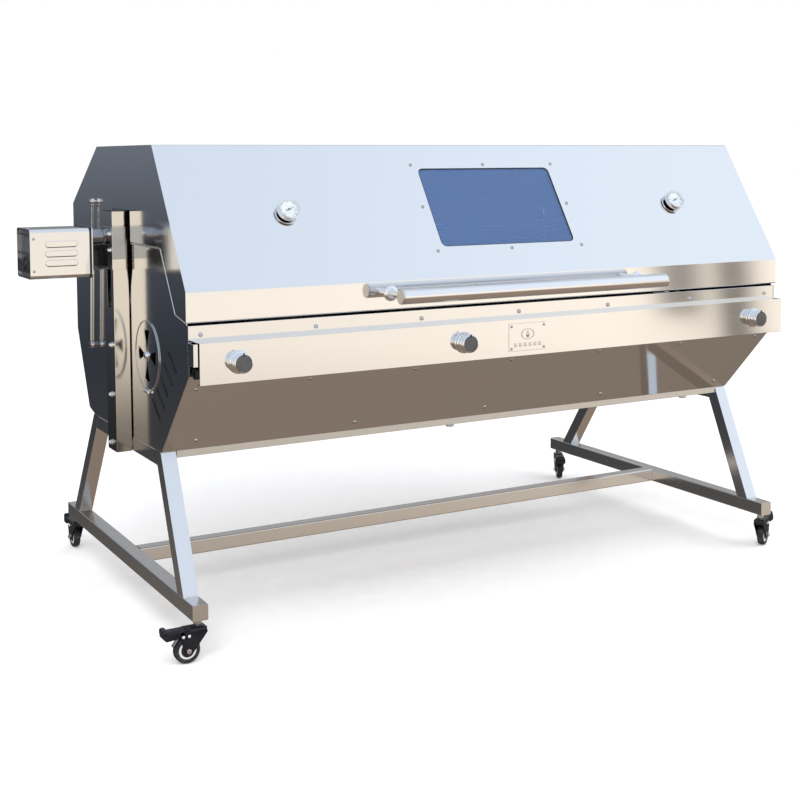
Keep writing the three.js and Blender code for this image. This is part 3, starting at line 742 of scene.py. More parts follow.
def joined(name: str, parts: Sequence[bpy.types.Object]) -> bpy.types.Object:
    """One piece of several.

    Args:
        name: The new piece's name.
        parts: The pieces to join.

    Returns:
        The first piece, which now holds them all.
    """
    activate(parts[0])
    for part in parts[1:]:
        part.select_set(True)
    if len(parts) > 1:
        bpy.ops.object.join()
    whole = bpy.context.object
    whole.name = name
    whole.data.name = name
    return whole


def scattered(name: str, master: bpy.types.Object, placings: Sequence[Matrix]) -> bpy.types.Object:
    """Copies a modelled master to each placing, joins the copies and removes the master.

    Args:
        name: The new piece's name.
        master: The modelled piece to copy; it is removed.
        placings: Where the copies go.

    Returns:
        The joined copies.
    """
    copies = []
    for placing in placings:
        copy = master.copy()
        copy.data = master.data.copy()
        bpy.context.scene.collection.objects.link(copy)
        copies.append(placed(copy, placing))
    bpy.data.objects.remove(master)
    return joined(name, copies)


def cut_away(piece: bpy.types.Object, tools: Sequence[bpy.types.Object]) -> bpy.types.Object:
    """Cuts tools out of a piece.

    Args:
        piece: The piece to cut.
        tools: Closed pieces to take out of it; they are removed.

    Returns:
        The piece.
    """
    for tool in tools:
        activate(piece)
        cutter = piece.modifiers.new("cut", "BOOLEAN")
        cutter.operation = "DIFFERENCE"
        cutter.solver = "EXACT"
        cutter.object = tool
        bpy.ops.object.modifier_apply(modifier=cutter.name)
        bpy.data.objects.remove(tool)
    return piece


def eased(
    piece: bpy.types.Object, width: float, steps: int = 2, angle: float = 30
) -> bpy.types.Object:
    """Rounds every sharp edge and smooths what is round.

    Args:
        piece: The piece to finish.
        width: Width of the rounding in millimetres; 0 rounds nothing.
        steps: Segments across each rounding.
        angle: Edges sharper than this many degrees are rounded.

    Returns:
        The piece.
    """
    activate(piece)
    if width:
        bevel = piece.modifiers.new("edge", "BEVEL")
        bevel.width = width * MM
        bevel.segments = steps
        bevel.limit_method = "ANGLE"
        bevel.angle_limit = math.radians(angle)
        bevel.use_clamp_overlap = True
        bpy.ops.object.modifier_apply(modifier=bevel.name)
    bpy.ops.object.shade_smooth_by_angle(angle=math.radians(angle + 6))
    weights = piece.modifiers.new("weights", "WEIGHTED_NORMAL")
    weights.mode = "FACE_AREA"
    weights.weight = 100
    weights.keep_sharp = True
    bpy.ops.object.modifier_apply(modifier=weights.name)
    return piece


def traced(node: str, fold: float = 0.0, fold_length: float = 200.0) -> bpy.types.Object:
    """A merged copy of a CAD node, with its long folds rounded, ready for more work.

    Args:
        node: The CAD node to copy.
        fold: Radius of the long bends.
        fold_length: Edges longer than this are bends.

    Returns:
        The copy, which stands for the node.
    """
    source = frame["nodes"][node]
    copy = source.copy()
    copy.data = source.data.copy()
    copy.parent = None
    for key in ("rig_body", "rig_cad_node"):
        if key in copy:
            del copy[key]
    bpy.context.scene.collection.objects.link(copy)
    copy.name = f"{node}_finished"
    with shaping(copy):
        bpy.ops.mesh.customdata_custom_splitnormals_clear()
        bpy.ops.mesh.remove_doubles(threshold=1e-5)
        bpy.ops.mesh.dissolve_limited(angle_limit=math.radians(1))
    if fold:
        limit = fold_length * MM

        def is_fold(edge: Any) -> bool:
            """A long edge between two faces that meet at a clear angle."""
            return (
                len(edge.link_faces) == 2
                and edge.calc_length() > limit
                and edge.calc_face_angle(0) > 0.2
            )

        with shaping(copy, "EDGE", is_fold):
            bpy.ops.mesh.bevel(offset=fold * MM, segments=4, affect="EDGES", clamp_overlap=True)
    return copy


def dress(piece: bpy.types.Object, finish: Finish) -> bpy.types.Object:
    """Gives a whole piece one finish.

    Args:
        piece: The piece to dress.
        finish: Its finish.

    Returns:
        The piece.
    """
    piece.data.materials.clear()
    piece.data.materials.append(finish.material())
    return piece


def touch_up(piece: bpy.types.Object, finish: Finish, test: Callable[[Vector], bool]) -> None:
    """Gives the faces whose middles pass a test another finish.

    Args:
        piece: The piece to touch up.
        finish: The finish of the chosen faces.
        test: Says from a face's middle whether it is chosen.
    """
    piece.data.materials.append(finish.material())
    index = len(piece.data.materials) - 1
    for face in piece.data.polygons:
        if test(face.center):
            face.material_index = index


def paint_inside_shade(piece: bpy.types.Object) -> bpy.types.Object:
    """Paints shade on the faces of a shell that look towards the fire, inside the closed cabinet.

    Args:
        piece: The shell, with its outside already dressed.

    Returns:
        The piece.
    """
    piece.data.materials.append(INSIDE_SHADE.material())
    index = len(piece.data.materials) - 1
    heart = DATUM.point(0, 0, 800)
    for face in piece.data.polygons:
        if (heart - face.center).dot(face.normal) > 0.04:
            face.material_index = index
    return piece


def mount(
    piece: bpy.types.Object, node: str, stands_for: bool = True
) -> bpy.types.Object:
    """Fixes a finished piece to the body that carries a CAD node.

    Args:
        piece: The finished piece.
        node: The CAD node it stands for, or is fixed to.
        stands_for: Whether the piece is shown in the node's place.

    Returns:
        The piece.
    """
    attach(piece, BODY_OF[node])
    if stands_for:
        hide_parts(node)
    LOG.info("%s on %s, %d faces", piece.name, BODY_OF[node], len(piece.data.polygons))
    return piece


def bead(start: Vector, end: Vector, radius: float) -> bpy.types.Object:
    """A slim bar with round ends from one point of the frame to another.

    Args:
        start: One end, in metres.
        end: The other end, in metres.
        radius: Its radius in millimetres.

    Returns:
        The bead.
    """
    length = (end - start).length / MM
    bar = turned(
        "bead",
        [(radius * 0.4, 0), (radius, radius), (radius, length - radius), (radius * 0.4, length)],
        12,
    )
    turn = (end - start).to_track_quat("Z", "Y").to_matrix().to_4x4()
    return placed(bar, Matrix.Translation(start) @ turn)


def gill(length: float, width: float, rise: float) -> bpy.types.Object:
    """One pressed louvre along X: a long flat blister with round ends and, under it, a black strip of
    painted shade for its open mouth.

    Args:
        length: Its length over the round ends.
        width: Its width.
        rise: How far it stands out.

    Returns:
        The dressed louvre.
    """
    half, r = length / 2, width / 2
    blister = block("gill_blister", (-half, -r, -0.6), (half, r, rise))
    with shaping(
        blister, "EDGE", lambda e: abs((e.verts[0].co - e.verts[1].co).z) > 0.5 * rise * MM
    ):
        bpy.ops.mesh.bevel(offset=(r - 0.2) * MM, segments=8, affect="EDGES")
    with shaping(blister, "FACE", lambda f: f.normal.z > 0.9):
        bpy.ops.mesh.bevel(offset=0.6 * rise * MM, segments=3, affect="EDGES")
    dress(blister, SHEET)
    # The mouth is a black strip of painted shade, not an opening.
    mouth = dress(
        block("gill_mouth_shade", (-half + 5, -r - 1.2, -0.4), (half - 5, -r + 1.0, 0.5), 0.2),
        STOVE_BLACK_AND_PAINTED_SHADE,
    )
    return eased(joined("gill_master", [blister, mouth]), 0)


@dataclass(frozen=True)
class Screw:
    """A pan-head screw with a cross recess."""

    radius: float = 5.2
    height: float = 3.4

    def master(self) -> bpy.types.Object:
        """Models one screw head standing on the XY plane.

        Returns:
            The dressed head.
        """
        r, h = self.radius, self.height
        head = turned(
            "screw_master",
            [
                (r * 0.96, -1),
                (r, 0.2),
                (r * 0.97, h * 0.3),
                (r * 0.86, h * 0.62),
                (r * 0.64, h * 0.87),
                (r * 0.36, h),
            ],
            20,
        )
        arm, half = r * 0.55, r * 0.13
        arms = [
            block("recess_a", (-arm, -half, h * 0.45), (arm, half, h + 1)),
            block("recess_b", (-half, -arm, h * 0.45), (half, arm, h + 1)),
        ]
        return dress(eased(cut_away(head, arms), 0), ZINC)

    def row(self, name: str, placings: Sequence[Matrix], node: str) -> bpy.types.Object:
        """Places a row of screws as one piece on a node's body."""
        return mount(scattered(name, self.master(), placings), node, False)


# ------------------------------------------------------------------ stand
@dataclass
class Stand:
    """Two splayed A-frames of square tube, joined by a stretcher."""

    corner: float = 3.0
    weld: float = 2.2

    def build(self) -> None:
        """Builds the tubes and their welds."""
        for side in SIDES:
            self.tube(f"base_rail_{side}", TUBE_Y)
            self.tube(f"leg_front_{side}", TUBE_Z)
            self.tube(f"leg_back_{side}", TUBE_Z)
            self.tube(f"top_rail_{side}", TUBE_Y)
            self.welds(side)
        self.tube("stretcher", TUBE_X)

    def tube(self, node: str, finish: Finish) -> None:
        """One tube with rounded corners."""
        mount(dress(eased(traced(node, self.corner, 150), 0.4), finish), node)

    def welds(self, side: str) -> None:
        """Ground beads where the legs meet the base rail.

        Args:
            side: left or right.
        """
        beads = []
        rail_low, rail_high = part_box(f"base_rail_{side}")
        for leg in ("front", "back"):
            low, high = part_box(f"leg_{leg}_{side}")
            is_front = leg == "front"
            width = 42 * MM
            near = low.y if is_front else high.y - width
            beads += self.frame_of_beads(rail_low.x, rail_high.x, near, near + width, rail_high.z)
        piece = joined(f"leg_welds_{side}", beads)
        mount(dress(eased(piece, 0), TUBE_Y), f"base_rail_{side}", False)

    def frame_of_beads(
        self, x0: float, x1: float, y0: float, y1: float, z: float
    ) -> list[bpy.types.Object]:
        """Two thin beads along the front and back of a tube's foot, given in metres.

        Args:
            x0: Least x of the foot.
            x1: Greatest x of the foot.
            y0: Least y of the foot.
            y1: Greatest y of the foot.
            z: Height of the surface that it stands on.

        Returns:
            The beads.
        """
        inset = self.corner * MM
        spans = [
            ((x0 + inset, y0, z), (x1 - inset, y0, z)),
            ((x0 + inset, y1, z), (x1 - inset, y1, z)),
        ]
        return [bead(Vector(a), Vector(b), self.weld) for a, b in spans]


@dataclass
class Caster:
    """A swivel caster with a foot brake."""

    corner: str
    wheel_radius: float = 31.0
    wheel_half: float = 9.5
    trail: float = 27.0
    crown: float = 83.4

    def build(self) -> None:
        """Builds fork, wheel, pedal and bright parts."""
        self.fork()
        self.wheel()
        self.pedal()

    def axle_placing(self) -> Matrix:
        """The wheel's middle with +Z along its axle.

        Returns:
            The placing, in metres.
        """
        joint = next(j for j in frame["joints"] if j["name"] == f"wheel_roll_{self.corner}")
        turn = Vector(joint["axis"]).to_track_quat("Z", "Y").to_matrix().to_4x4()
        return Matrix.Translation(Vector(joint["pos_m"])) @ turn

    def fork(self) -> None:
        """Glossy black housing with a zinc stem, nut, rivets and axle ends."""
        node = f"caster_fork_{self.corner}"
        piece = dress(eased(traced(node), 1.3, 3), GLOSS_BLACK)
        crown = self.crown * MM
        touch_up(piece, ZINC, lambda centre: centre.z > crown)
        mount(piece, node)
        axle = self.axle_placing()
        nut = hexagon("axle_nut_master", 11, 4.5)
        ends = [
            axle @ Matrix.Translation((0, 0, s * 15 * MM)) @ Matrix.Rotation(
                0 if s > 0 else math.pi, 4, "X"
            )
            for s in (-1, 1)
        ]
        nuts = dress(eased(scattered(f"axle_nuts_{self.corner}", nut, ends), 0.3), CHROME)
        mount(nuts, node, False)
        rivet = eased(turned("rivet_master", [(3.4, 0), (3.4, 0.8), (2.6, 1.8), (1.2, 2.3)], 20), 0)
        spots = [(-2.0, 36.0), (12.0, 36.0)]
        back = self.pedal_direction()
        up = Vector((0, 0, 1))
        places = []
        for sign in (-1, 1):
            for along, height in spots:
                at = Matrix.Translation(
                    back * along * MM + up * (height - self.wheel_radius + 30) * MM
                )
                face = (
                    Matrix.Translation((0, 0, sign * 15 * MM))
                    @ Matrix.Rotation(0 if sign > 0 else math.pi, 4, "X")
                )
                places.append(at @ axle @ face)
        mount(dress(scattered(f"fork_rivets_{self.corner}", rivet, places), HUB_GREY), node, False)
        local = self.local_frame()
        tongue = dress(eased(block("tongue", (0, -6, -0.7), (24, 6, 0.7), 0.4), 0), ZINC)
        slanting = (
            local
            @ Matrix.Translation((47 * MM, 0, 62 * MM))
            @ Matrix.Rotation(math.radians(52), 4, "Y")
        )
        mount(placed(tongue, slanting), node, False).name = f"brake_spring_{self.corner}"
        hood = block("hood", (-17, -16, 66), (27, 16, 83.5), 6.5, 5)
        mount(
            placed(dress(eased(hood, 0), GLOSS_BLACK), local), node, False
        ).name = f"caster_hood_{self.corner}"

    def local_frame(self) -> Matrix:
        """The caster's own frame: origin on the floor under the stem, +X towards the pedal.

        Returns:
            The placing, in metres.
        """
        hub = Vector(
            next(j for j in frame["joints"] if j["name"] == f"wheel_roll_{self.corner}")["pos_m"]
        )
        back, up = self.pedal_direction(), Vector((0, 0, 1))
        origin = hub - back * self.trail * MM
        origin.z = 0
        return Matrix.Translation(origin) @ Matrix((back, up.cross(back), up)).transposed().to_4x4()

    def pedal_direction(self) -> Vector:
        """The level direction from the stem towards the pedal.

        Returns:
            A unit vector.
        """
        low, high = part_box(f"brake_pedal_{self.corner}")
        joint = next(j for j in frame["joints"] if j["name"] == f"wheel_roll_{self.corner}")
        away = (low + high) / 2 - Vector(joint["pos_m"])
        away.z = 0
        return away.normalized()

    def wheel(self) -> None:
        """Tyre with a crowned tread on a nylon hub with a pale ring."""
        node = f"caster_wheel_{self.corner}"
        r, h = self.wheel_radius, self.wheel_half
        tyre = dress(
            turned(
                "tyre",
                [
                    (r - 9, -h + 1), (r - 3, -h), (r - 0.9, -h + 1.4), (r, -h + 4), (r, h - 4),
                    (r - 0.9, h - 1.4), (r - 3, h), (r - 9, h - 1),
                ],
                72,
                True,
            ),
            TYRE,
        )
        faces = []
        for sign in (-1, 1):
            dished = [
                (4.6, 0), (4.6, h - 0.6), (8.5, h - 0.6), (9.5, h - 2.5), (13.5, h - 3),
                (14.5, h - 2.2), (16, h - 0.8), (20, h - 0.8), (21, h - 1.6), (r - 8.6, h - 1.6),
                (r - 8.6, 0),
            ]
            half = turned("hub", [(a, sign * b) for a, b in dished], 48, True)
            dress(half, BLACK)
            touch_up(
                half,
                HUB_GREY,
                lambda c,
                s=sign: 15.5 * MM < math.hypot(c.x, c.y) < 20.6 * MM and s * c.z > (h - 1.5) * MM,
            )
            faces.append(half)
        piece = eased(joined(f"wheel_{self.corner}", [tyre, *faces]), 0, angle=34)
        mount(placed(piece, self.axle_placing()), node)

    def pedal(self) -> None:
        """Brake pedal with a pad and a raised toe."""
        node = f"brake_pedal_{self.corner}"
        pad = placed(block("pad", (31, -15, 64), (84, 15, 82.5), 5.5, 5), self.local_frame())
        toe = placed(block("toe", (74, -16, 72), (88, 16, 88), 5.0, 5), self.local_frame())
        piece = joined(f"{node}_dressed", [eased(traced(node), 2.0, 3), pad, toe])
        mount(dress(eased(piece, 0), GLOSS_BLACK), node)


# ------------------------------------------------------------------ cabinet
@dataclass
class Cabinet:
    """The lower half: end plates, front, back, grease pan and their screws."""

    rim_screws: tuple[float, ...] = (-868, -580, -291, 0, 289, 577, 860)
    under_screws: tuple[float, ...] = (-869, -582, -291, -2, 286, 572, 855)
    low_screws: tuple[float, ...] = (-821, -392, 5, 399, 828)
    corner: Point = (0, -449, 662)
    down: Point = (0, 0.680, -0.733)
    out: Point = (0, -0.733, -0.680)

    def build(self) -> None:
        """Builds sheets, screws, drain plugs and end fittings."""
        for side in SIDES:
            node = f"body_end_{side}"
            plate = dress(eased(traced(node), 0.5), END_SHEET)
            # The slot walls are painted black: painted shade in the narrow slots.
            touch_up(plate, STOVE_BLACK_AND_PAINTED_SHADE, self.in_slot)
            touch_up(plate, ZINC, lambda c: abs(c.x - DATUM.x) > 0.9 and c.y > DATUM.y + 0.2)
            # Painted shade on the plate's inside faces.
            mount(paint_inside_shade(plate), node)
            self.louvres(side)
            self.damper(side)
            self.end_screws(side)
        for node in ("body_front", "body_back"):
            # Painted shade on the sheets' inside faces.
            mount(paint_inside_shade(dress(eased(traced(node, 2.5, 1000), 0.4), SHEET)), node)
        mount(dress(eased(traced("grease_pan", 3, 300), 0.5), PAN_STEEL), "grease_pan")
        Screw(5.4, 3.6).row(
            "rim_screws",
            [DATUM.facing((x, -450, 757), (0, -1, 0)) for x in self.rim_screws],
            "body_front",
        )
        Screw(5.4, 3.6).row(
            "under_panel_screws",
            [self.on_under_slope(x, 47) for x in self.under_screws],
            "body_front",
        )
        Screw(5.4, 3.6).row(
            "lower_edge_screws",
            [self.on_under_slope(x, 250) for x in self.low_screws],
            "body_front",
        )
        self.drain_plugs()

    def in_slot(self, centre: Vector) -> bool:
        """Whether a face lies on the wall of one of the end plate's narrow slots.

        Args:
            centre: The face's middle, in metres.

        Returns:
            True on the wall of a slot.
        """
        y, z = (centre.y - DATUM.y) / MM, centre.z / MM
        off_face = abs(abs(centre.x - DATUM.x) / MM - 897) < 0.9
        return off_face and any(math.hypot(y - a, z - b) < 34 for a, b in self.slots())

    def slots(self) -> list[tuple[float, float]]:
        """The middles of the end plate's five slots, as y and z."""
        return [(-342 + 30 * i, 682 - 32.5 * i) for i in range(5)]

    def louvres(self, side: str) -> None:
        """A black strip of painted shade behind each slot of the end plate.

        Args:
            side: left or right.
        """
        sign = SIDES[side]
        master = dress(
            eased(block("slot_shade_strip", (-33, -4.4, -0.6), (33, 4.4, 0.9), 0.6, 2), 0), STOVE_BLACK_AND_PAINTED_SHADE
        )
        places = []
        for y, z in self.slots():
            along = Vector((0, 0.783, 0.622))
            out = Vector((sign, 0, 0))
            up = out.cross(along)
            turn = Matrix((along, up, out)).transposed().to_4x4()
            places.append(Matrix.Translation(DATUM.point(sign * 898, y, z)) @ turn)
        mount(scattered(f"end_slot_shades_{side}", master, places), f"body_end_{side}", False)

    def on_under_slope(self, x: float, down: float) -> Matrix:
        """A placing on the outer face of the front's lower slope."""
        at = Vector(self.corner) + Vector(self.down) * down + Vector((x, 0, 0))
        return DATUM.facing(tuple(at), self.out, self.down)

    def drain_plugs(self) -> None:
        """Two knurled plugs under the grease pan."""
        plug = turned("plug_master", [(13, -0.5), (13, 3), (11, 4), (11, 9), (9.5, 10.5)], 24)
        with shaping(
            plug, "FACE", lambda f: abs(f.normal.z) < 0.1 and f.calc_center_median().z > 4 * MM
        ):
            bpy.ops.mesh.inset(thickness=0.4 * MM, depth=0.5 * MM, use_individual=True)
        places = [
            DATUM.facing((x, y, 435), (0, 0, -1), (0, 1, 0)) for x, y in ((-72, -225), (754, -225))
        ]
        mount(dress(eased(scattered("drain_plugs", plug, places), 0.2), ZINC), "grease_pan", False)

    def damper(self, side: str) -> None:
        """The round damper plate: a rolled rim, four wedge holes, a domed screw and a curled tab.

        Args:
            side: left or right.
        """
        sign = SIDES[side]
        node = f"vent_disc_{side}"
        disc = turned(
            "disc",
            [
                (5, 0.3), (84, 0.3), (86, 0.3), (88, 0.9), (88, 2.2), (86, 3.0), (84.4, 2.2),
                (84, 1.5), (5, 1.5),
            ],
            96,
            True,
        )
        wedges = []
        for quarter in range(4):
            wedge = block("wedge", (-19, 14, -5), (19, 64, 9))
            with shaping(wedge, "FACE", lambda f: f.normal.y < -0.9):
                bpy.ops.transform.resize(value=(0.06, 1, 1))
            with shaping(
                wedge,
                "EDGE",
                lambda e: abs((e.verts[0].co - e.verts[1].co).z) > 0.01 and e.verts[0].co.y > 0.05,
            ):
                bpy.ops.mesh.bevel(offset=5 * MM, segments=4, affect="EDGES")
            wedges.append(placed(wedge, Matrix.Rotation(quarter * math.pi / 2, 4, "Z")))
        cut_away(disc, wedges)
        tab = block("tab", (-15, -88, 1.0), (15, -80, 2.4), 0.5)
        lip = turned("curl", [(3.0, -15), (3.6, -14), (3.6, 14), (3.0, 15)], 20)
        placed(
            lip, Matrix.Translation((0, -88 * MM, 5 * MM)) @ Matrix.Rotation(math.pi / 2, 4, "Y")
        )
        placing = DATUM.facing((sign * 898, -165, 675), (sign, 0, 0))
        whole = joined(f"damper_{side}", [disc, tab, lip])
        mount(placed(dress(eased(whole, 0), END_SHEET), placing), node)
        hub = turned(
            "hub",
            [(13, 1.5), (13, 2.4), (9.5, 2.8), (9.5, 3.2), (8.6, 6.0), (6.0, 8.2), (2.5, 9.2)],
            32,
        )
        mount(
            placed(dress(eased(hub, 0), CHROME), placing), node, False
        ).name = f"damper_nut_{side}"

    def end_screws(self, side: str) -> None:
        """Washers on the strut stud.

        Args:
            side: left or right.
        """
        sign = SIDES[side]
        washer = turned("washer", [(4.2, 0), (8.6, 0), (8.6, 1.2), (4.2, 1.2)], 28, True)
        places = [DATUM.facing((sign * x, 266, 650), (sign, 0, 0)) for x in (904.8, 915.6)]
        mount(
            dress(scattered(f"stud_washers_{side}", washer, places), ZINC),
            f"body_end_{side}",
            False,
        )


# ------------------------------------------------------------------ controls and gas
@dataclass
class Controls:
    """The control panel with its knobs, badge plate, pipe and burners."""

    face_y: float = -491.0
    knob_z: float = 695.0
    plate_x: tuple[float, float] = (-60, 54)
    plate_z: tuple[float, float] = (661, 732)

    def build(self) -> None:
        """Builds the panel and what is on and behind it."""
        panel = dress(eased(traced("control_panel", 3, 1000), 0.5), SHEET)
        mount(panel, "control_panel")
        mount(dress(eased(traced("gas_manifold"), 0.4, 2, 26), STOVE_BLACK_AND_PAINTED_SHADE), "gas_manifold")
        for number in (1, 2, 3):
            self.knob(number)
            self.burner(number)
        self.badge()
        self.panel_brackets()
        self.pipe_nut()

    def knob(self, number: int) -> None:
        """Chromed knob: flange, grooved body, black face and pointer.

        Args:
            number: Which of the three, from the left.
        """
        node = f"knob_{number}"
        low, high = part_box(node)
        middle_x = (low.x + high.x) / 2
        placing = (
            Matrix.Translation((middle_x, high.y, self.knob_z * MM))
            @ Matrix.Rotation(math.pi / 2, 4, "X")
        )
        body = turned(
            "knob_body",
            [
                (22, 0), (24, 0.4), (24.2, 3.6), (22.6, 5.2), (20.8, 6.2), (20.6, 10), (21.4, 11),
                (21.6, 13.5), (20.4, 14.6), (20.6, 16), (22.4, 17.6), (22.9, 28), (22.2, 30.4),
                (20.2, 31.2), (19.6, 30.2),
            ],
            64,
        )
        dress(body, CHROME)
        insert = dress(
            turned(
                "knob_insert", [(19.4, 29), (19.4, 30.8), (18.6, 31.6), (12, 32.3), (4, 32.6)], 48
            ),
            KNOB_BLACK,
        )
        pointer = dress(block("knob_pointer", (-1.9, 16, 29.5), (1.9, 23.4, 33), 0.6), BLACK)
        piece = eased(joined(f"{node}_dressed", [body, insert, pointer]), 0)
        mount(placed(piece, placing), node)
        bezel = dress(
            eased(
                turned(
                    f"knob_bezel_{number}",
                    [(24.6, -1.4), (27.2, -1.4), (27.2, 0.4), (25.6, 1.2), (24.6, 0.6)],
                    64,
                    True,
                ),
                0,
            ),
            CHROME,
        )
        mount(
            placed(bezel, placing @ Matrix.Translation((0, 0, 0.9 * MM))),
            "control_panel",
            False,
        )

    def burner(self, number: int) -> None:
        """A smooth burner tube with a domed end and its row of ports.

        Args:
            number: Which of the three, from the left.
        """
        node = f"burner_{number}"
        piece = traced(node)
        activate(piece)
        mount(dress(eased(piece, 1.2, 2, 40), BURNER_STEEL), node)

    def badge(self) -> None:
        """A plain riveted plate with a raised ring, a flame and a rule, and no lettering."""
        (x0, x1), (z0, z1) = self.plate_x, self.plate_z
        half_w, half_h = (x1 - x0) / 2, (z1 - z0) / 2
        plate = dress(block("badge", (-half_w, -half_h, 0), (half_w, half_h, 2.2), 0.9, 3), SHEET)
        ring = turned("badge_ring", [(14, 2.0), (17, 2.0), (16.6, 3.4), (14.4, 3.4)], 48, True)
        placed(ring, Matrix.Translation((0, 7 * MM, 0)) @ Matrix.Diagonal((1.2, 0.85, 1, 1)))
        flame = turned("badge_flame", [(1.6, 0), (5.4, 5), (6, 8), (3.6, 14), (0.6, 20)], 20)
        placed(
            flame,
            Matrix.Translation((0, -2 * MM, 2.1 * MM)) @ Matrix.Rotation(
                -math.pi / 2, 4, "X"
            ) @ Matrix.Diagonal((1, 0.2, 1, 1)),
        )
        rules = [
            block("badge_rule", (x - 4.2, -24, 2.0), (x + 4.2, -15, 3.4), 0.7)
            for x in (-37.5, -22.5, -7.5, 7.5, 22.5, 37.5)
        ]
        relief = dress(joined("badge_relief", [ring, flame, *rules]), ZINC)
        middle = ((x0 + x1) / 2, self.face_y, (z0 + z1) / 2)
        piece = eased(joined("badge_plate", [plate, relief]), 0)
        mount(placed(piece, DATUM.facing(middle, (0, -1, 0))), "control_panel", False)
        spots = [(x, z) for x in (x0 + 7, x1 - 7) for z in (z0 + 7, z1 - 7)]
        Screw(3.8, 2.2).row(
            "badge_rivets",
            [DATUM.facing((x, self.face_y - 2.0, z), (0, -1, 0)) for x, z in spots],
            "control_panel",
        )

    def panel_brackets(self) -> None:
        """Folded brackets that hold the panel off the cabinet, at its open ends."""
        for side, near, far in (("left", -889.5, -900), ("right", 876, 884)):
            step = 1.5 if far > 0 else -1.5
            lip = block("bracket_lip", (near, -487, 690), (far, -485.5, 741), 0.3)
            web = block("bracket_web", (far - step, -486.5, 690), (far, -452, 741), 0.3)
            foot = block("bracket_foot", (near, -451.6, 690), (far, -450.2, 741), 0.3)
            piece = joined(f"panel_bracket_{side}", [lip, web, foot])
            placed(piece, Matrix.Translation(DATUM.point(0, 0, 0)))
            mount(dress(eased(piece, 0), SHEET), "control_panel", False)

    def pipe_nut(self) -> None:
        """A hose fitting's lock ring on the pipe's open end."""
        nut = turned(
            "pipe_nut",
            [(12.8, 0), (16.5, 0), (17.2, 1), (17.2, 11), (16.5, 12), (12.8, 12)],
            6,
            True,
        )
        mount(
            dress(eased(placed(nut, DATUM.facing((-878, -470, 672), (1, 0, 0))), 0.4), STOVE_BLACK_AND_PAINTED_SHADE),
            "gas_manifold",
            False,
        )


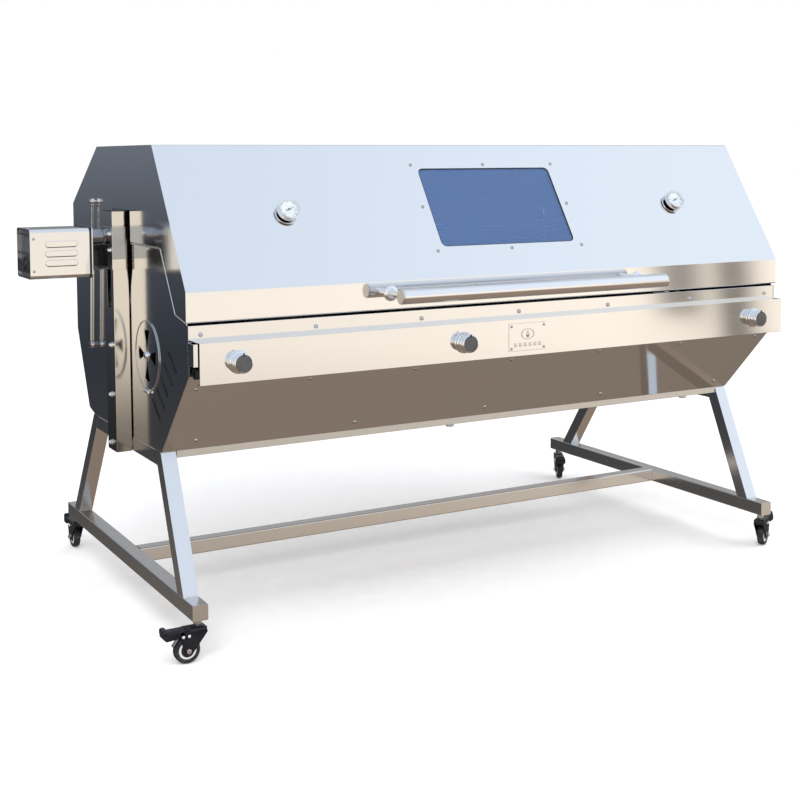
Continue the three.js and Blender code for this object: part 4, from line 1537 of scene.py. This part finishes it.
# ------------------------------------------------------------------ spit gear
@dataclass
class SpitGear:
    """Posts, sliding carriages, the spit and its meat forks."""

    post_out: float = 940.0
    carriage_out: float = 943.3
    spit_z: float = 960.0
    band_z: float = 903.0
    rod_radius: float = 12.5
    post_bolts: tuple[float, ...] = (686, 559, 435)
    carriage_bolts: tuple[float, ...] = (966, 926)

    def build(self) -> None:
        """Builds both ends and the spit."""
        for side in SIDES:
            self.post(side)
            self.carriage(side)
            self.fork(side)
        self.spit()

    def post(self, side: str) -> None:
        """Folded channel with a cap and dome-head bolts.

        Args:
            side: left or right.
        """
        sign = SIDES[side]
        node = f"spit_post_{side}"
        mount(dress(eased(traced(node, 2.5, 300), 0.4), POST_STEEL), node)
        cap = block("cap", (-37.5, -21.5, 0), (37.5, 19.5, 38), 1.2, 2)
        hollow = block("hollow", (-36.2, -20.2, -1), (36.2, 30, 36))
        cut_away(cap, [hollow])
        placing = DATUM.facing((sign * 920, 0, 986), (0, 0, 1), (-sign, 0, 0))
        lid = block("cap_lid", (-38, -22, 36.2), (38, 20, 39.4), 1.2, 2)
        cap = eased(joined(f"post_cap_{side}", [dress(cap, POST_STEEL), dress(lid, BLACK)]), 0)
        mount(placed(cap, placing), node, False)
        bolts = scattered(
            f"post_bolts_{side}",
            self.dome_bolt(),
            [
                DATUM.facing((sign * self.post_out, y, z), (sign, 0, 0))
                for y, z in zip((-14, -6, 2), self.post_bolts, strict=True)
            ],
        )
        mount(bolts, node, False)

    def dome_bolt(self) -> bpy.types.Object:
        """A dome nut on a washer.

        Returns:
            The dressed nut.
        """
        washer = turned("bolt_washer", [(8, -0.4), (8, 1.0), (7.4, 1.4), (5.8, 1.4)], 28)
        nut = placed(hexagon("bolt_hex", 10, 4.6), Matrix.Translation((0, 0, 1.2 * MM)))
        dome = turned("bolt_dome", [(4.6, 5), (4.5, 6.6), (3.5, 8.6), (1.6, 9.6)], 24)
        return dress(eased(joined("bolt_master", [washer, nut, dome]), 0), CHROME)

    def carriage(self, side: str) -> None:
        """The clamp round the post with its bearing ring and bolts.

        Args:
            side: left or right.
        """
        sign = SIDES[side]
        node = f"spit_carriage_{side}"
        clamp = traced(node, 2, 80)
        with shaping(clamp):
            bpy.ops.mesh.bisect(plane_co=DATUM.point(0, 0, self.band_z), plane_no=(0, 0, 1))
        dress(eased(clamp, 0.5, 2, 24), GALVANISED)
        band = self.band_z * MM
        touch_up(clamp, POST_STEEL, lambda c: c.z < band)
        mount(clamp, node)
        ring = turned(
            "ring",
            [(13.4, -1), (19, -1), (20.5, 0.6), (20.5, 4), (18.5, 5.6), (13.4, 5.6)],
            48,
            True,
        )
        placing = DATUM.facing((sign * self.carriage_out, 0, self.spit_z), (sign, 0, 0))
        mount(
            placed(dress(eased(ring, 0), OILED), placing), node, False
        ).name = f"spit_bearing_{side}"
        bolts = scattered(
            f"carriage_bolts_{side}",
            self.dome_bolt(),
            [
                DATUM.facing((sign * self.carriage_out, -29, z), (sign, 0, 0))
                for z in self.carriage_bolts
            ],
        )
        mount(bolts, node, False)

    def spit(self) -> None:
        """The long bar with its drive collar, lock nuts and turned far end."""
        low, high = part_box("spit_rod")
        length = (high.x - low.x) / MM
        r = self.rod_radius
        bar = turned("spit_bar", [(r - 2, 0), (r, 2), (r, length - 6), (r - 4, length)], 40)
        collar = turned(
            "spit_collar",
            [(r - 0.2, 15), (18.4, 15), (19, 16), (19, 44), (18.4, 45), (r - 0.2, 45)],
            48,
            True,
        )
        nuts = []
        for at in (47, 56):
            nut = hexagon("spit_nut", 33, 8)
            nuts.append(
                placed(nut, Matrix.Translation((0, 0, at * MM)) @ Matrix.Rotation(at, 4, "Z"))
            )
        screw = placed(
            hexagon("grub", 8, 5),
            Matrix.Translation((0, 18 * MM, 30 * MM)) @ Matrix.Rotation(-math.pi / 2, 4, "X"),
        )
        drive = dress(joined("spit_drive", [collar, screw, *nuts]), OILED)
        piece = eased(joined("spit_bar", [dress(bar, CHROME), drive]), 0)
        placing = (
            Matrix.Translation((low.x, DATUM.y, self.spit_z * MM))
            @ Matrix.Rotation(math.pi / 2, 4, "Y")
        )
        mount(placed(piece, placing), "spit_rod")

    def fork(self, side: str) -> None:
        """A meat fork: clamp collar, cross bar, pointed tines and a wing screw.

        Args:
            side: left or right.
        """
        node = f"meat_fork_{side}"
        low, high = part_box(node)
        way = 1 if side == "left" else -1
        at = (low.x + 18 * MM) if way > 0 else (high.x - 18 * MM)
        collar = turned(
            "collar", [(12.8, -18), (21, -18), (22, -17), (22, 17), (21, 18), (12.8, 18)], 40, True
        )
        reach = 46
        arms = [
            block("arm_a", (-reach, -5, -5), (-14, 5, 5), 1.2),
            block("arm_b", (14, -5, -5), (reach, 5, 5), 1.2),
            block("arm_c", (-5, -reach, -5), (5, -14, 5), 1.2),
        ]
        spots = [(-reach + 5, 0), (reach - 5, 0), (0, -reach + 5)]
        tine = turned("tine_master", [(3.6, 0), (4, 1), (4, 112), (3.2, 130), (0.5, 150)], 16)
        tines = scattered(
            "tines", tine, [Matrix.Translation((x * MM, y * MM, 0)) for x, y in spots]
        )
        stem = placed(
            turned("wing_stem", [(4, 0), (4, 26), (3.4, 27)], 16),
            Matrix.Translation((0, 16 * MM, 0)) @ Matrix.Rotation(-math.pi / 2, 4, "X"),
        )
        wing = block("wing", (-2.4, 36, -12), (2.4, 46, 12), 2.0, 3)
        piece = eased(joined("fork", [collar, *arms, tines, stem, wing]), 0)
        turn = DATUM.facing((0, 0, 0), (way, 0, 0)).to_3x3().to_4x4()
        placing = Matrix.Translation((at, DATUM.y, self.spit_z * MM)) @ turn
        mount(placed(dress(piece, CHROME), placing), node).name = f"{node}_dressed"


# ------------------------------------------------------------------ motor
@dataclass
class MotorUnit:
    """The spit motor: louvred cover, gasket, end cap, switch and mount."""

    outer: float = -1150.0
    inner: float = -1001.0
    front: float = -60.0
    back: float = 70.0
    bottom: float = 864.0
    top: float = 985.0
    louvre_zs: tuple[float, ...] = (948, 925, 902)

    def build(self) -> None:
        """Builds the cover and everything on it."""
        mount(dress(eased(traced("motor_housing"), 0.35, 2, 38), SHEET), "motor_housing")
        mount(dress(eased(traced("motor_cap"), 0.8, 2, 38), CAP_GREY), "motor_cap")
        mount(dress(eased(traced("switch_rocker"), 0.8, 2), GLOSS_BLACK), "switch_rocker")
        mount(dress(eased(traced("gear_motor"), 3, 3), STOVE_BLACK_AND_PAINTED_SHADE), "gear_motor")
        bracket = dress(eased(traced("motor_mount"), 0.4), SHEET)
        arms = DATUM.x + (self.inner + 5) * MM
        touch_up(bracket, GLOSS_BLACK, lambda c: c.x > arms and c.z > 881.5 * MM)
        mount(bracket, "motor_mount")
        self.louvres()
        self.gasket()
        self.cap_details()
        self.cover_screws()

    def louvres(self) -> None:
        """Three pressed gills over the cover's slots."""
        places = [DATUM.facing((-1074, self.front, z), (0, -1, 0)) for z in self.louvre_zs]
        mount(scattered("motor_louvres", gill(80, 15, 2.4), places), "motor_housing", False)

    def gasket(self) -> None:
        """The black sealing frame between cover and mount plate."""
        strip = block(
            "motor_gasket",
            (self.inner - 4, self.front - 1.6, self.bottom - 1.6),
            (self.inner + 1.0, self.back + 1.6, self.top + 1.6),
            0.6,
        )
        opening = block(
            "opening",
            (self.inner - 9, self.front - 0.1, self.bottom - 0.1),
            (self.inner + 8, self.back + 0.1, self.top + 0.1),
            8.9,
            4,
        )
        piece = cut_away(strip, [opening])
        placed(piece, Matrix.Translation(DATUM.point(0, 0, 0)))
        mount(dress(eased(piece, 0), GASKET_AND_PAINTED_SHADE), "motor_mount", False)

    def cap_details(self) -> None:
        """Ribs, a switch bezel, a power inlet and corner screws on the end cap."""
        face = self.outer + 6
        ribs = [
            block("cap_rib", (face - 3, self.front + 6, z), (face + 1, self.back - 6, z + 3), 1)
            for z in (968, 922)
        ]
        bezel = block("bezel", (face - 3.5, -16, 877), (face + 1, 16, 917), 1.2)
        cut_away(bezel, [block("gap", (face - 8, -11.8, 882), (face + 6, 11.8, 912))])
        inlet = block("inlet", (face - 5, 24, 876), (face + 1, 56, 908), 2.5, 3)
        cut_away(inlet, [block("pocket", (face - 9, 29, 881), (face - 1, 51, 903), 2, 2)])
        strip = block("cap_strip", (face - 2.2, -50, 876), (face + 1, -24, 908), 1.6)
        piece = joined("motor_cap_details", [*ribs, bezel, inlet, strip])
        placed(piece, Matrix.Translation(DATUM.point(0, 0, 0)))
        mount(dress(eased(piece, 0), BLACK), "motor_cap", False)
        spots = [
            (y, z)
            for y in (self.front + 10, self.back - 10)
            for z in (self.bottom + 8, self.top - 9)
        ]
        Screw(3.4, 2.0).row(
            "motor_cap_screws",
            [DATUM.facing((face, y, z), (-1, 0, 0)) for y, z in spots],
            "motor_cap",
        )

    def cover_screws(self) -> None:
        """Screws at the cover's outer edge and on the mount's arm."""
        places = [DATUM.facing((self.outer + 9, self.front, z), (0, -1, 0)) for z in (884, 962)]
        places.append(DATUM.facing((self.outer + 12, 5, self.top), (0, 0, 1), (0, 1, 0)))
        Screw(3.4, 2.0).row("motor_cover_screws", places, "motor_housing")


# ------------------------------------------------------------------ lid
@dataclass
class Lid:
    """The hinged lid with its window, dials, handle and hinge."""

    foot: Point = (0, -451, 855)
    up: Point = (0, 0.5463, 0.8376)
    out: Point = (0, -0.8376, 0.5463)
    window_screws: tuple[tuple[float, float], ...] = (
        (-218, 333), (5, 333), (227, 333), (-222, 206), (232, 206), (-219, 76), (5, 76), (230, 76)
    )
    dial_x: float = 603.0
    dial_up: float = 200.0
    handle_z: float = 824.0
    handle_out: float = 87.3
    handle_radius: float = 18.2

    def build(self) -> None:
        """Builds shell, window, dials, handle and hinge."""
        self.set_slope()
        mount(dress(eased(traced("lid_shell", 3, 1500), 0.7), LID_SHEET), "lid_shell")
        self.side_panels()
        self.seams()
        mount(dress(eased(traced("window_glass"), 0.6), WINDOW_GLASS), "window_glass")
        mount(dress(eased(traced("window_frame"), 0.5), SHEET), "window_frame")
        self.window_trim()
        Screw(4.8, 3.2).row(
            "window_screws", [self.on_slope(x, up) for x, up in self.window_screws], "lid_shell"
        )
        for side, sign in SIDES.items():
            self.dial(side, sign)
        self.handle()
        for node in ("hinge_leaf_body", "hinge_leaf_lid"):
            mount(dress(eased(traced(node), 0.25, 2, 34), SHEET), node)
        self.hinge_screws()

    def set_slope(self) -> None:
        """Takes the front slope's direction from the lid's own faces."""
        mesh = frame["nodes"]["lid_shell"].data
        slope = max(
            (f for f in mesh.polygons if f.normal.y < -0.5 and f.normal.z > 0.2),
            key=lambda f: f.area,
        )
        self.out = tuple(slope.normal)
        self.up = (0.0, slope.normal.z, -slope.normal.y)

    def side_panels(self) -> None:
        """Paints shade on the lid's inside faces and gives its two end plates the darker end sheet.
        """
        # Painted shade on the lid's inside faces.
        piece = paint_inside_shade(bpy.data.objects["lid_shell_finished"])
        reach = 902.6 * MM
        touch_up(piece, END_SHEET, lambda c: abs(c.x - DATUM.x) > reach)
        touch_up(piece, ZINC, lambda c: abs(c.x - DATUM.x) > 0.9045)

    def seams(self) -> None:
        """A pale steel bead, a painted highlight, along the seam where each end of the lid laps the
        cabinet.
        """
        line = [(-66, 943), (-285, 943), (-380, 797), (-450, 784)]
        for side, sign in SIDES.items():
            points = [DATUM.point(sign * 902.6, y, z) for y, z in line]
            beads = [bead(a, b, 1.5) for a, b in zip(points, points[1:], strict=False)]
            # Painted highlight along the seam.
            mount(
                dress(eased(joined(f"lid_edge_{side}", beads), 0), SEAM_HIGHLIGHT_STEEL), "lid_shell", False
            )

    def on_slope(self, x: float, up: float, out: float = 0.0) -> Matrix:
        """A placing on the lid's front slope."""
        at = Vector(self.foot) + Vector(self.up) * up + Vector(self.out) * out + Vector((x, 0, 0))
        return DATUM.facing(tuple(at), self.out, self.up)

    def window_trim(self) -> None:
        """A thin black seal round the pane, just inside the opening; partly a seal, it mostly serves
        as painted shade along the opening's inner edge.
        """
        half, low, high = 207, 88, 322
        outer = block(
            "window_seal_shade_line", (-half + 0.3, low + 0.3, -2.2), (half - 0.3, high - 0.3, -1.0), 0
        )
        for piece, radius in ((outer, 13),):
            with shaping(piece, "EDGE", lambda e: abs((e.verts[0].co - e.verts[1].co).z) > 0.0005):
                bpy.ops.mesh.bevel(offset=radius * MM, segments=5, affect="EDGES")
        inner = block("inner", (-half + 2, low + 2, -6), (half - 2, high - 2, 6))
        with shaping(inner, "EDGE", lambda e: abs((e.verts[0].co - e.verts[1].co).z) > 0.002):
            bpy.ops.mesh.bevel(offset=11.5 * MM, segments=5, affect="EDGES")
        cut_away(outer, [inner])
        # Painted shade: the black seal stands for the shade at the opening's inner edge.
        mount(
            placed(dress(eased(outer, 0), GASKET_AND_PAINTED_SHADE), self.on_slope(5, 0)),
            "lid_shell",
            False,
        )

    def dial(self, side: str, sign: int) -> None:
        """Thermometer: case, bezel, face with its scale, needle and lens.

        Args:
            side: left or right.
            sign: -1 on the left and 1 on the right.
        """
        node = f"thermometer_{side}"
        placing = self.on_slope(sign * self.dial_x, self.dial_up)
        case = dress(
            turned(
                "case",
                [
                    (3.2, -70), (3.2, -1), (10, 0.4), (11, 5), (25, 5), (28, 6.4), (28.6, 9),
                    (27.4, 10.4), (26.4, 11), (26.4, 13),
                ],
                56,
            ),
            CHROME,
        )
        touch_up(case, GASKET_AND_PAINTED_SHADE, lambda c: c.z > 10 * MM)
        bezel = dress(
            turned(
                "bezel",
                [
                    (25, 12.6), (28.6, 12.6), (29.4, 13.6), (29.4, 17.6), (28.6, 19.2),
                    (27.2, 19.8), (25.4, 18.8), (25, 16.4),
                ],
                64,
                True,
            ),
            CHROME,
        )
        face = dress(turned("face", [(25.4, 13.6), (25.4, 14.8), (12, 14.9)], 48), DIAL_WHITE)
        marks = []
        for step in range(25):
            angle = math.radians(225 - step * 270 / 24)
            major = step % 4 == 0
            inner, half = (18.4, 0.7) if major else (20.6, 0.35)
            mark = block("mark", (inner, -half, 14.8), (23.2, half, 15.15))
            marks.append(placed(mark, Matrix.Rotation(angle, 4, "Z")))
        needle = block("needle", (-9, -1.4, 15.8), (16, 1.4, 16.3))
        with shaping(needle, "FACE", lambda f: f.normal.x > 0.9):
            bpy.ops.transform.resize(value=(1, 0.25, 1))
        marks.append(placed(needle, Matrix.Rotation(math.radians(24), 4, "Z")))
        marks.append(turned("needle_hub", [(2.4, 14.8), (2.4, 17), (1.4, 17.6)], 24))
        ink = dress(joined("scale", marks), DIAL_INK)
        band = turned("band", [(14.5, 14.8), (17, 14.8), (17, 15.05), (14.5, 15.05)], 72, True)
        with shaping(
            band,
            "FACE",
            lambda f: not -60 < math.degrees(math.atan2(*f.calc_center_median().yx)) < 10,
        ):
            bpy.ops.mesh.delete(type="FACE")
        with shaping(band):
            bpy.ops.mesh.edge_face_add()
        dress(band, DIAL_GREEN)
        piece = eased(joined(f"{node}_dressed", [case, bezel, face, ink, band]), 0)
        mount(placed(piece, placing), node)
        lens = turned(f"dial_lens_{side}", [(25, 17.0), (25, 17.8), (3, 18.0)], 48)
        mount(placed(dress(eased(lens, 0), LENS), placing), node, False)

    def handle(self) -> None:
        """The long bar handle with capped ends on two flanged posts."""
        low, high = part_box("lid_handle")
        length = (high.x - low.x) / MM
        r = self.handle_radius
        bar = dress(
            turned("bar", [(r - 0.8, 5), (r, 5.4), (r, length - 5.4), (r - 0.8, length - 5)], 64),
            BAR_STEEL,
        )
        caps = []
        for start, way in ((0, 1), (length, -1)):
            steps = [(r - 3.2, 0), (r - 1.0, 0.7), (r - 0.2, 2.4), (r - 0.2, 5.6)]
            caps.append(
                dress(turned("cap", [(a, start + way * b) for a, b in steps], 56), SATIN_CAP)
            )
        grip = joined("grip", [bar, *caps])
        centre_y = -451 - self.handle_out
        placed(
            grip,
            Matrix.Translation(
                (low.x, DATUM.y + centre_y * MM, self.handle_z * MM)
            ) @ Matrix.Rotation(math.pi / 2, 4, "Y"),
        )
        post = dress(
            turned(
                "post_master",
                [
                    (19, 0.2), (19, 2), (16, 3.6), (12, 5), (9.4, 9), (9, 14), (9, 68), (9.6, 72),
                    (11, 76),
                ],
                40,
            ),
            BAR_STEEL,
        )
        inset = 24
        xs = [((low.x - DATUM.x) / MM) + inset, ((high.x - DATUM.x) / MM) - inset]
        posts = scattered(
            "posts", post, [DATUM.facing((x, -451, self.handle_z), (0, -1, 0)) for x in xs]
        )
        mount(eased(joined("lid_handle_dressed", [grip, posts]), 0), "lid_handle")

    def hinge_screws(self) -> None:
        """Countersunk screws through both hinge leaves."""
        count = 12
        xs = [-800 + 1600 * i / (count - 1) for i in range(count)]
        Screw(3.8, 1.4).row(
            "hinge_screws_body",
            [DATUM.facing((x, 450.8, 858), (0, 1, 0)) for x in xs],
            "hinge_leaf_body",
        )
        Screw(3.8, 1.4).row(
            "hinge_screws_lid",
            [DATUM.facing((x, 452.8, 902), (0, 1, 0)) for x in xs],
            "hinge_leaf_lid",
        )


@dataclass
class Struts:
    """The gas stays at both ends of the lid."""

    tube_foot: Point = (911, 266, 650)
    rod_top: Point = (911, 233, 1040)
    tube_length: float = 232.0

    def build(self) -> None:
        """Builds both stays."""
        for side, sign in SIDES.items():
            foot = Vector((sign * self.tube_foot[0], *self.tube_foot[1:]))
            top = Vector((sign * self.rod_top[0], *self.rod_top[1:]))
            self.tube(side, foot, top)
            self.rod(side, foot, top)

    def eye(self, name: str) -> bpy.types.Object:
        """The flat eye at a stay's end, its bore along X."""
        ring = turned(
            name, [(4.5, -4), (7.4, -4), (8, -3.4), (8, 3.4), (7.4, 4), (4.5, 4)], 32, True
        )
        return placed(ring, Matrix.Rotation(math.pi / 2, 4, "Y"))

    def tube(self, side: str, foot: Vector, top: Vector) -> None:
        """The cylinder with its end fitting and rolled mouth.

        Args:
            side: left or right.
            foot: The pivot on the cabinet, in metres.
            top: The pivot on the lid, in metres.
        """
        length = self.tube_length
        body = turned(
            "cylinder",
            [
                (5.2, 18), (5.2, 12), (6, 12), (6.4, 13), (6.4, length - 6), (6.1, length - 4.5),
                (6.1, length - 3), (6.4, length - 2), (6.2, length), (5.2, length),
            ],
            40,
            True,
        )
        plug = turned("plug", [(3.6, 7), (3.6, 12), (5.1, 12), (5.1, 22)], 24)
        piece = eased(joined(f"strut_tube_{side}_dressed", [body, plug, self.eye("eye")]), 0)
        placing = DATUM.facing(tuple(foot), tuple(top - foot), (0, 1, 0))
        mount(placed(dress(piece, CHROME), placing), f"strut_tube_{side}")

    def rod(self, side: str, foot: Vector, top: Vector) -> None:
        """The polished rod with its end fitting.

        Args:
            side: left or right.
            foot: The pivot on the cabinet, in metres.
            top: The pivot on the lid, in metres.
        """
        reach = (top - foot).length - 32
        bar = turned("rod", [(2.8, 7), (2.8, reach)], 24)
        collar = turned("collar", [(4.2, 6.6), (4.2, 14), (3.4, 15.4)], 24)
        piece = eased(joined(f"strut_rod_{side}_dressed", [bar, collar, self.eye("eye")]), 0)
        placing = DATUM.facing(tuple(top), tuple(foot - top), (0, 1, 0))
        mount(placed(dress(piece, CHROME), placing), f"strut_rod_{side}")


# ------------------------------------------------------------------ surroundings
# What the steel mirrors, from straight down (0) through the horizon (0.5) to straight up (1).
Stops = Sequence[tuple[float, Colour]]
GROUND: Colour = (0.285, 0.22, 0.172)
OPEN_SKY: Colour = (0.80, 0.90, 1.06)
FRONT_VIEW: Stops = [
    (0.0, GROUND),
    (0.30, (0.30, 0.235, 0.185)),
    (0.375, (0.50, 0.43, 0.36)),
    (0.405, (0.95, 0.85, 0.74)),
    (0.43, (1.16, 1.05, 0.93)),
    (0.50, (1.14, 1.06, 0.95)),
    (0.56, (0.95, 0.98, 1.02)),
    (0.66, (0.82, 0.91, 1.04)),
    (0.88, (0.82, 0.92, 1.07)),
    (1.0, OPEN_SKY),
]
BEHIND_LEFT: Stops = [
    (0.0, GROUND),
    (0.22, (0.20, 0.16, 0.13)),
    (0.345, (0.15, 0.135, 0.12)),
    (0.395, (0.05, 0.05, 0.052)),
    (0.43, (0.036, 0.042, 0.054)),
    (0.465, (0.07, 0.078, 0.094)),
    (0.495, (0.15, 0.168, 0.20)),
    (0.53, (0.23, 0.26, 0.30)),
    (0.62, (0.25, 0.26, 0.29)),
    (0.80, (0.45, 0.52, 0.62)),
    (1.0, OPEN_SKY),
]
BEHIND_RIGHT: Stops = [
    (0.0, GROUND),
    (0.22, (0.24, 0.20, 0.17)),
    (0.42, (0.14, 0.13, 0.12)),
    (0.50, (0.26, 0.25, 0.24)),
    (0.60, (0.38, 0.36, 0.34)),
    (0.72, (0.52, 0.56, 0.60)),
    (1.0, OPEN_SKY),
]


# ------------------------------------------------------------------ studio
@dataclass
class Studio:
    """Camera, soft light, pale floor and the surroundings that the steel mirrors."""

    stand_point: Point = (-1910.3, -3215.1, 1151.9)
    yaw: float = 0.5132
    pitch: float = 0.0748
    roll: float = -0.0044
    lens: float = 58.77
    shift: float = -0.18

    def build(self) -> None:
        """Sets up everything that isn't the roaster."""
        self.camera()
        self.floor()
        self.lamps()
        self.surroundings()
        bpy.context.scene.view_settings.view_transform = "Standard"

    def camera(self) -> None:
        """The viewpoint, at standing height to the front left."""
        data = bpy.data.cameras.new("camera")
        data.lens = self.lens
        data.sensor_width = 36
        data.shift_y = self.shift
        camera = bpy.data.objects.new("camera", data)
        bpy.context.scene.collection.objects.link(camera)
        look = (
            Matrix.Rotation(-self.yaw, 4, "Z") @ Matrix.Rotation(math.pi / 2 - self.pitch, 4, "X")
        )
        camera.matrix_world = (
            Matrix.Translation(DATUM.point(*self.stand_point))
            @ look
            @ Matrix.Rotation(self.roll, 4, "Z")
        )
        bpy.context.scene.camera = camera

    def floor(self) -> None:
        """A wide pale floor that the steel doesn't mirror."""
        bpy.ops.object.select_all(action="DESELECT")
        bpy.ops.mesh.primitive_plane_add(size=80, location=(0, 0, -0.0005))
        floor = newly_added("studio_floor")
        dress(floor, Moulded("studio_floor_paint", (0.93, 0.93, 0.93), 0.9, 40, 0.01, glow=0.10))
        floor.visible_glossy = False

    def lamps(self) -> None:
        """Two large soft lamps, unseen in the mirrors."""
        for name, at, size, power in (
            ("key", (-2.6, -3.4, 4.2), 3.0, 120), ("fill", (3.4, -2.4, 3.0), 3.0, 50)
        ):
            data = bpy.data.lights.new(name, "AREA")
            data.size = size
            data.energy = power
            lamp = bpy.data.objects.new(name, data)
            bpy.context.scene.collection.objects.link(lamp)
            lamp.location = at
            lamp.rotation_euler = (
                Vector((0, 0, 0.7)) - Vector(at)
            ).to_track_quat("-Z", "Y").to_euler()
            lamp.visible_glossy = False

    def surroundings(self) -> None:
        """A pale sky in front, a grey yard behind and a brown ground, seen only in reflections."""
        world = bpy.data.worlds.new("surroundings")
        world.use_nodes = True
        bpy.context.scene.world = world
        shader = Shader(world.node_tree)
        way = shader.node("ShaderNodeTexCoord").wire("Generated")
        split = shader.node("ShaderNodeSeparateXYZ", {}, {"Vector": way})
        east, north, height = split.wire("X"), split.wire("Y"), split.wire("Z")
        level = height * 0.5 + 0.5
        ramps = [
            shader.node("ShaderNodeValToRGB", {"stops": stops}, {"Fac": level}).wire("Color")
            for stops in (FRONT_VIEW, BEHIND_LEFT, BEHIND_RIGHT)
        ]
        back = shader.mix(east.step(-0.1, 0.45), ramps[1], ramps[2])
        brighter = shader.mix(
            east.step(0.3, 0.72) * (1 - north.step(-0.1, 0.1)),
            (0.96, 0.96, 0.96),
            (1.10, 1.09, 1.07),
        )
        around = shader.node("ShaderNodeMix", {"data_type": "RGBA", "blend_type": "MULTIPLY"})
        shader.feed(around.node.inputs["Factor"], 1.0)
        shader.feed(around.node.inputs[6], shader.mix(north.step(-0.25, 0.25), ramps[0], back))
        shader.feed(around.node.inputs[7], brighter)
        around = Wire(shader, around.node.outputs[2])
        level_band = height.step(-0.24, -0.17) * (1 - height.step(0.02, 0.15)) * (
            1 - north.step(-0.3, 0.0)
        )
        near_tree = east.step(0.640, 0.656) * (
            1 - east.step(0.664, 0.678)
        ) * height.step(-0.128, -0.108)
        far_tree = east.step(0.676, 0.686) * (1 - east.step(0.692, 0.702))
        haze = east.step(0.62, 0.70) * (1 - east.step(0.70, 0.71)) * 0.28
        around = shader.mix(near_tree * level_band * 0.92, around, (0.18, 0.16, 0.15))
        around = shader.mix(far_tree * level_band, around, (0.08, 0.075, 0.07))
        around = shader.mix(haze * level_band, around, (0.42, 0.36, 0.30))
        light = shader.node("ShaderNodeLightPath")
        soft = shader.mix(light.wire("Is Diffuse Ray"), around, (1.08, 1.08, 1.09))
        seen = shader.mix(light.wire("Is Camera Ray"), soft, (1.0, 1.0, 1.0))
        sky = shader.node(
            "ShaderNodeBackground", {}, {"Color": seen, "Strength": 1.0}
        ).wire("Background")
        shader.node("ShaderNodeOutputWorld", {}, {"Surface": sky})


def main() -> None:
    """Builds the studio and every sub-assembly in order, and logs each piece's face count."""
    logging.basicConfig(level=logging.INFO, format="%(message)s")
    assemblies = [
        Studio(),
        Stand(),
        *(Caster(c) for c in ("front_left", "back_left", "front_right", "back_right")),
        Cabinet(),
        Controls(),
        SpitGear(),
        MotorUnit(),
        Lid(),
        Struts(),
    ]
    for assembly in assemblies:
        LOG.info("building %s", type(assembly).__name__)
        assembly.build()


if __name__ == "__main__":
    main()
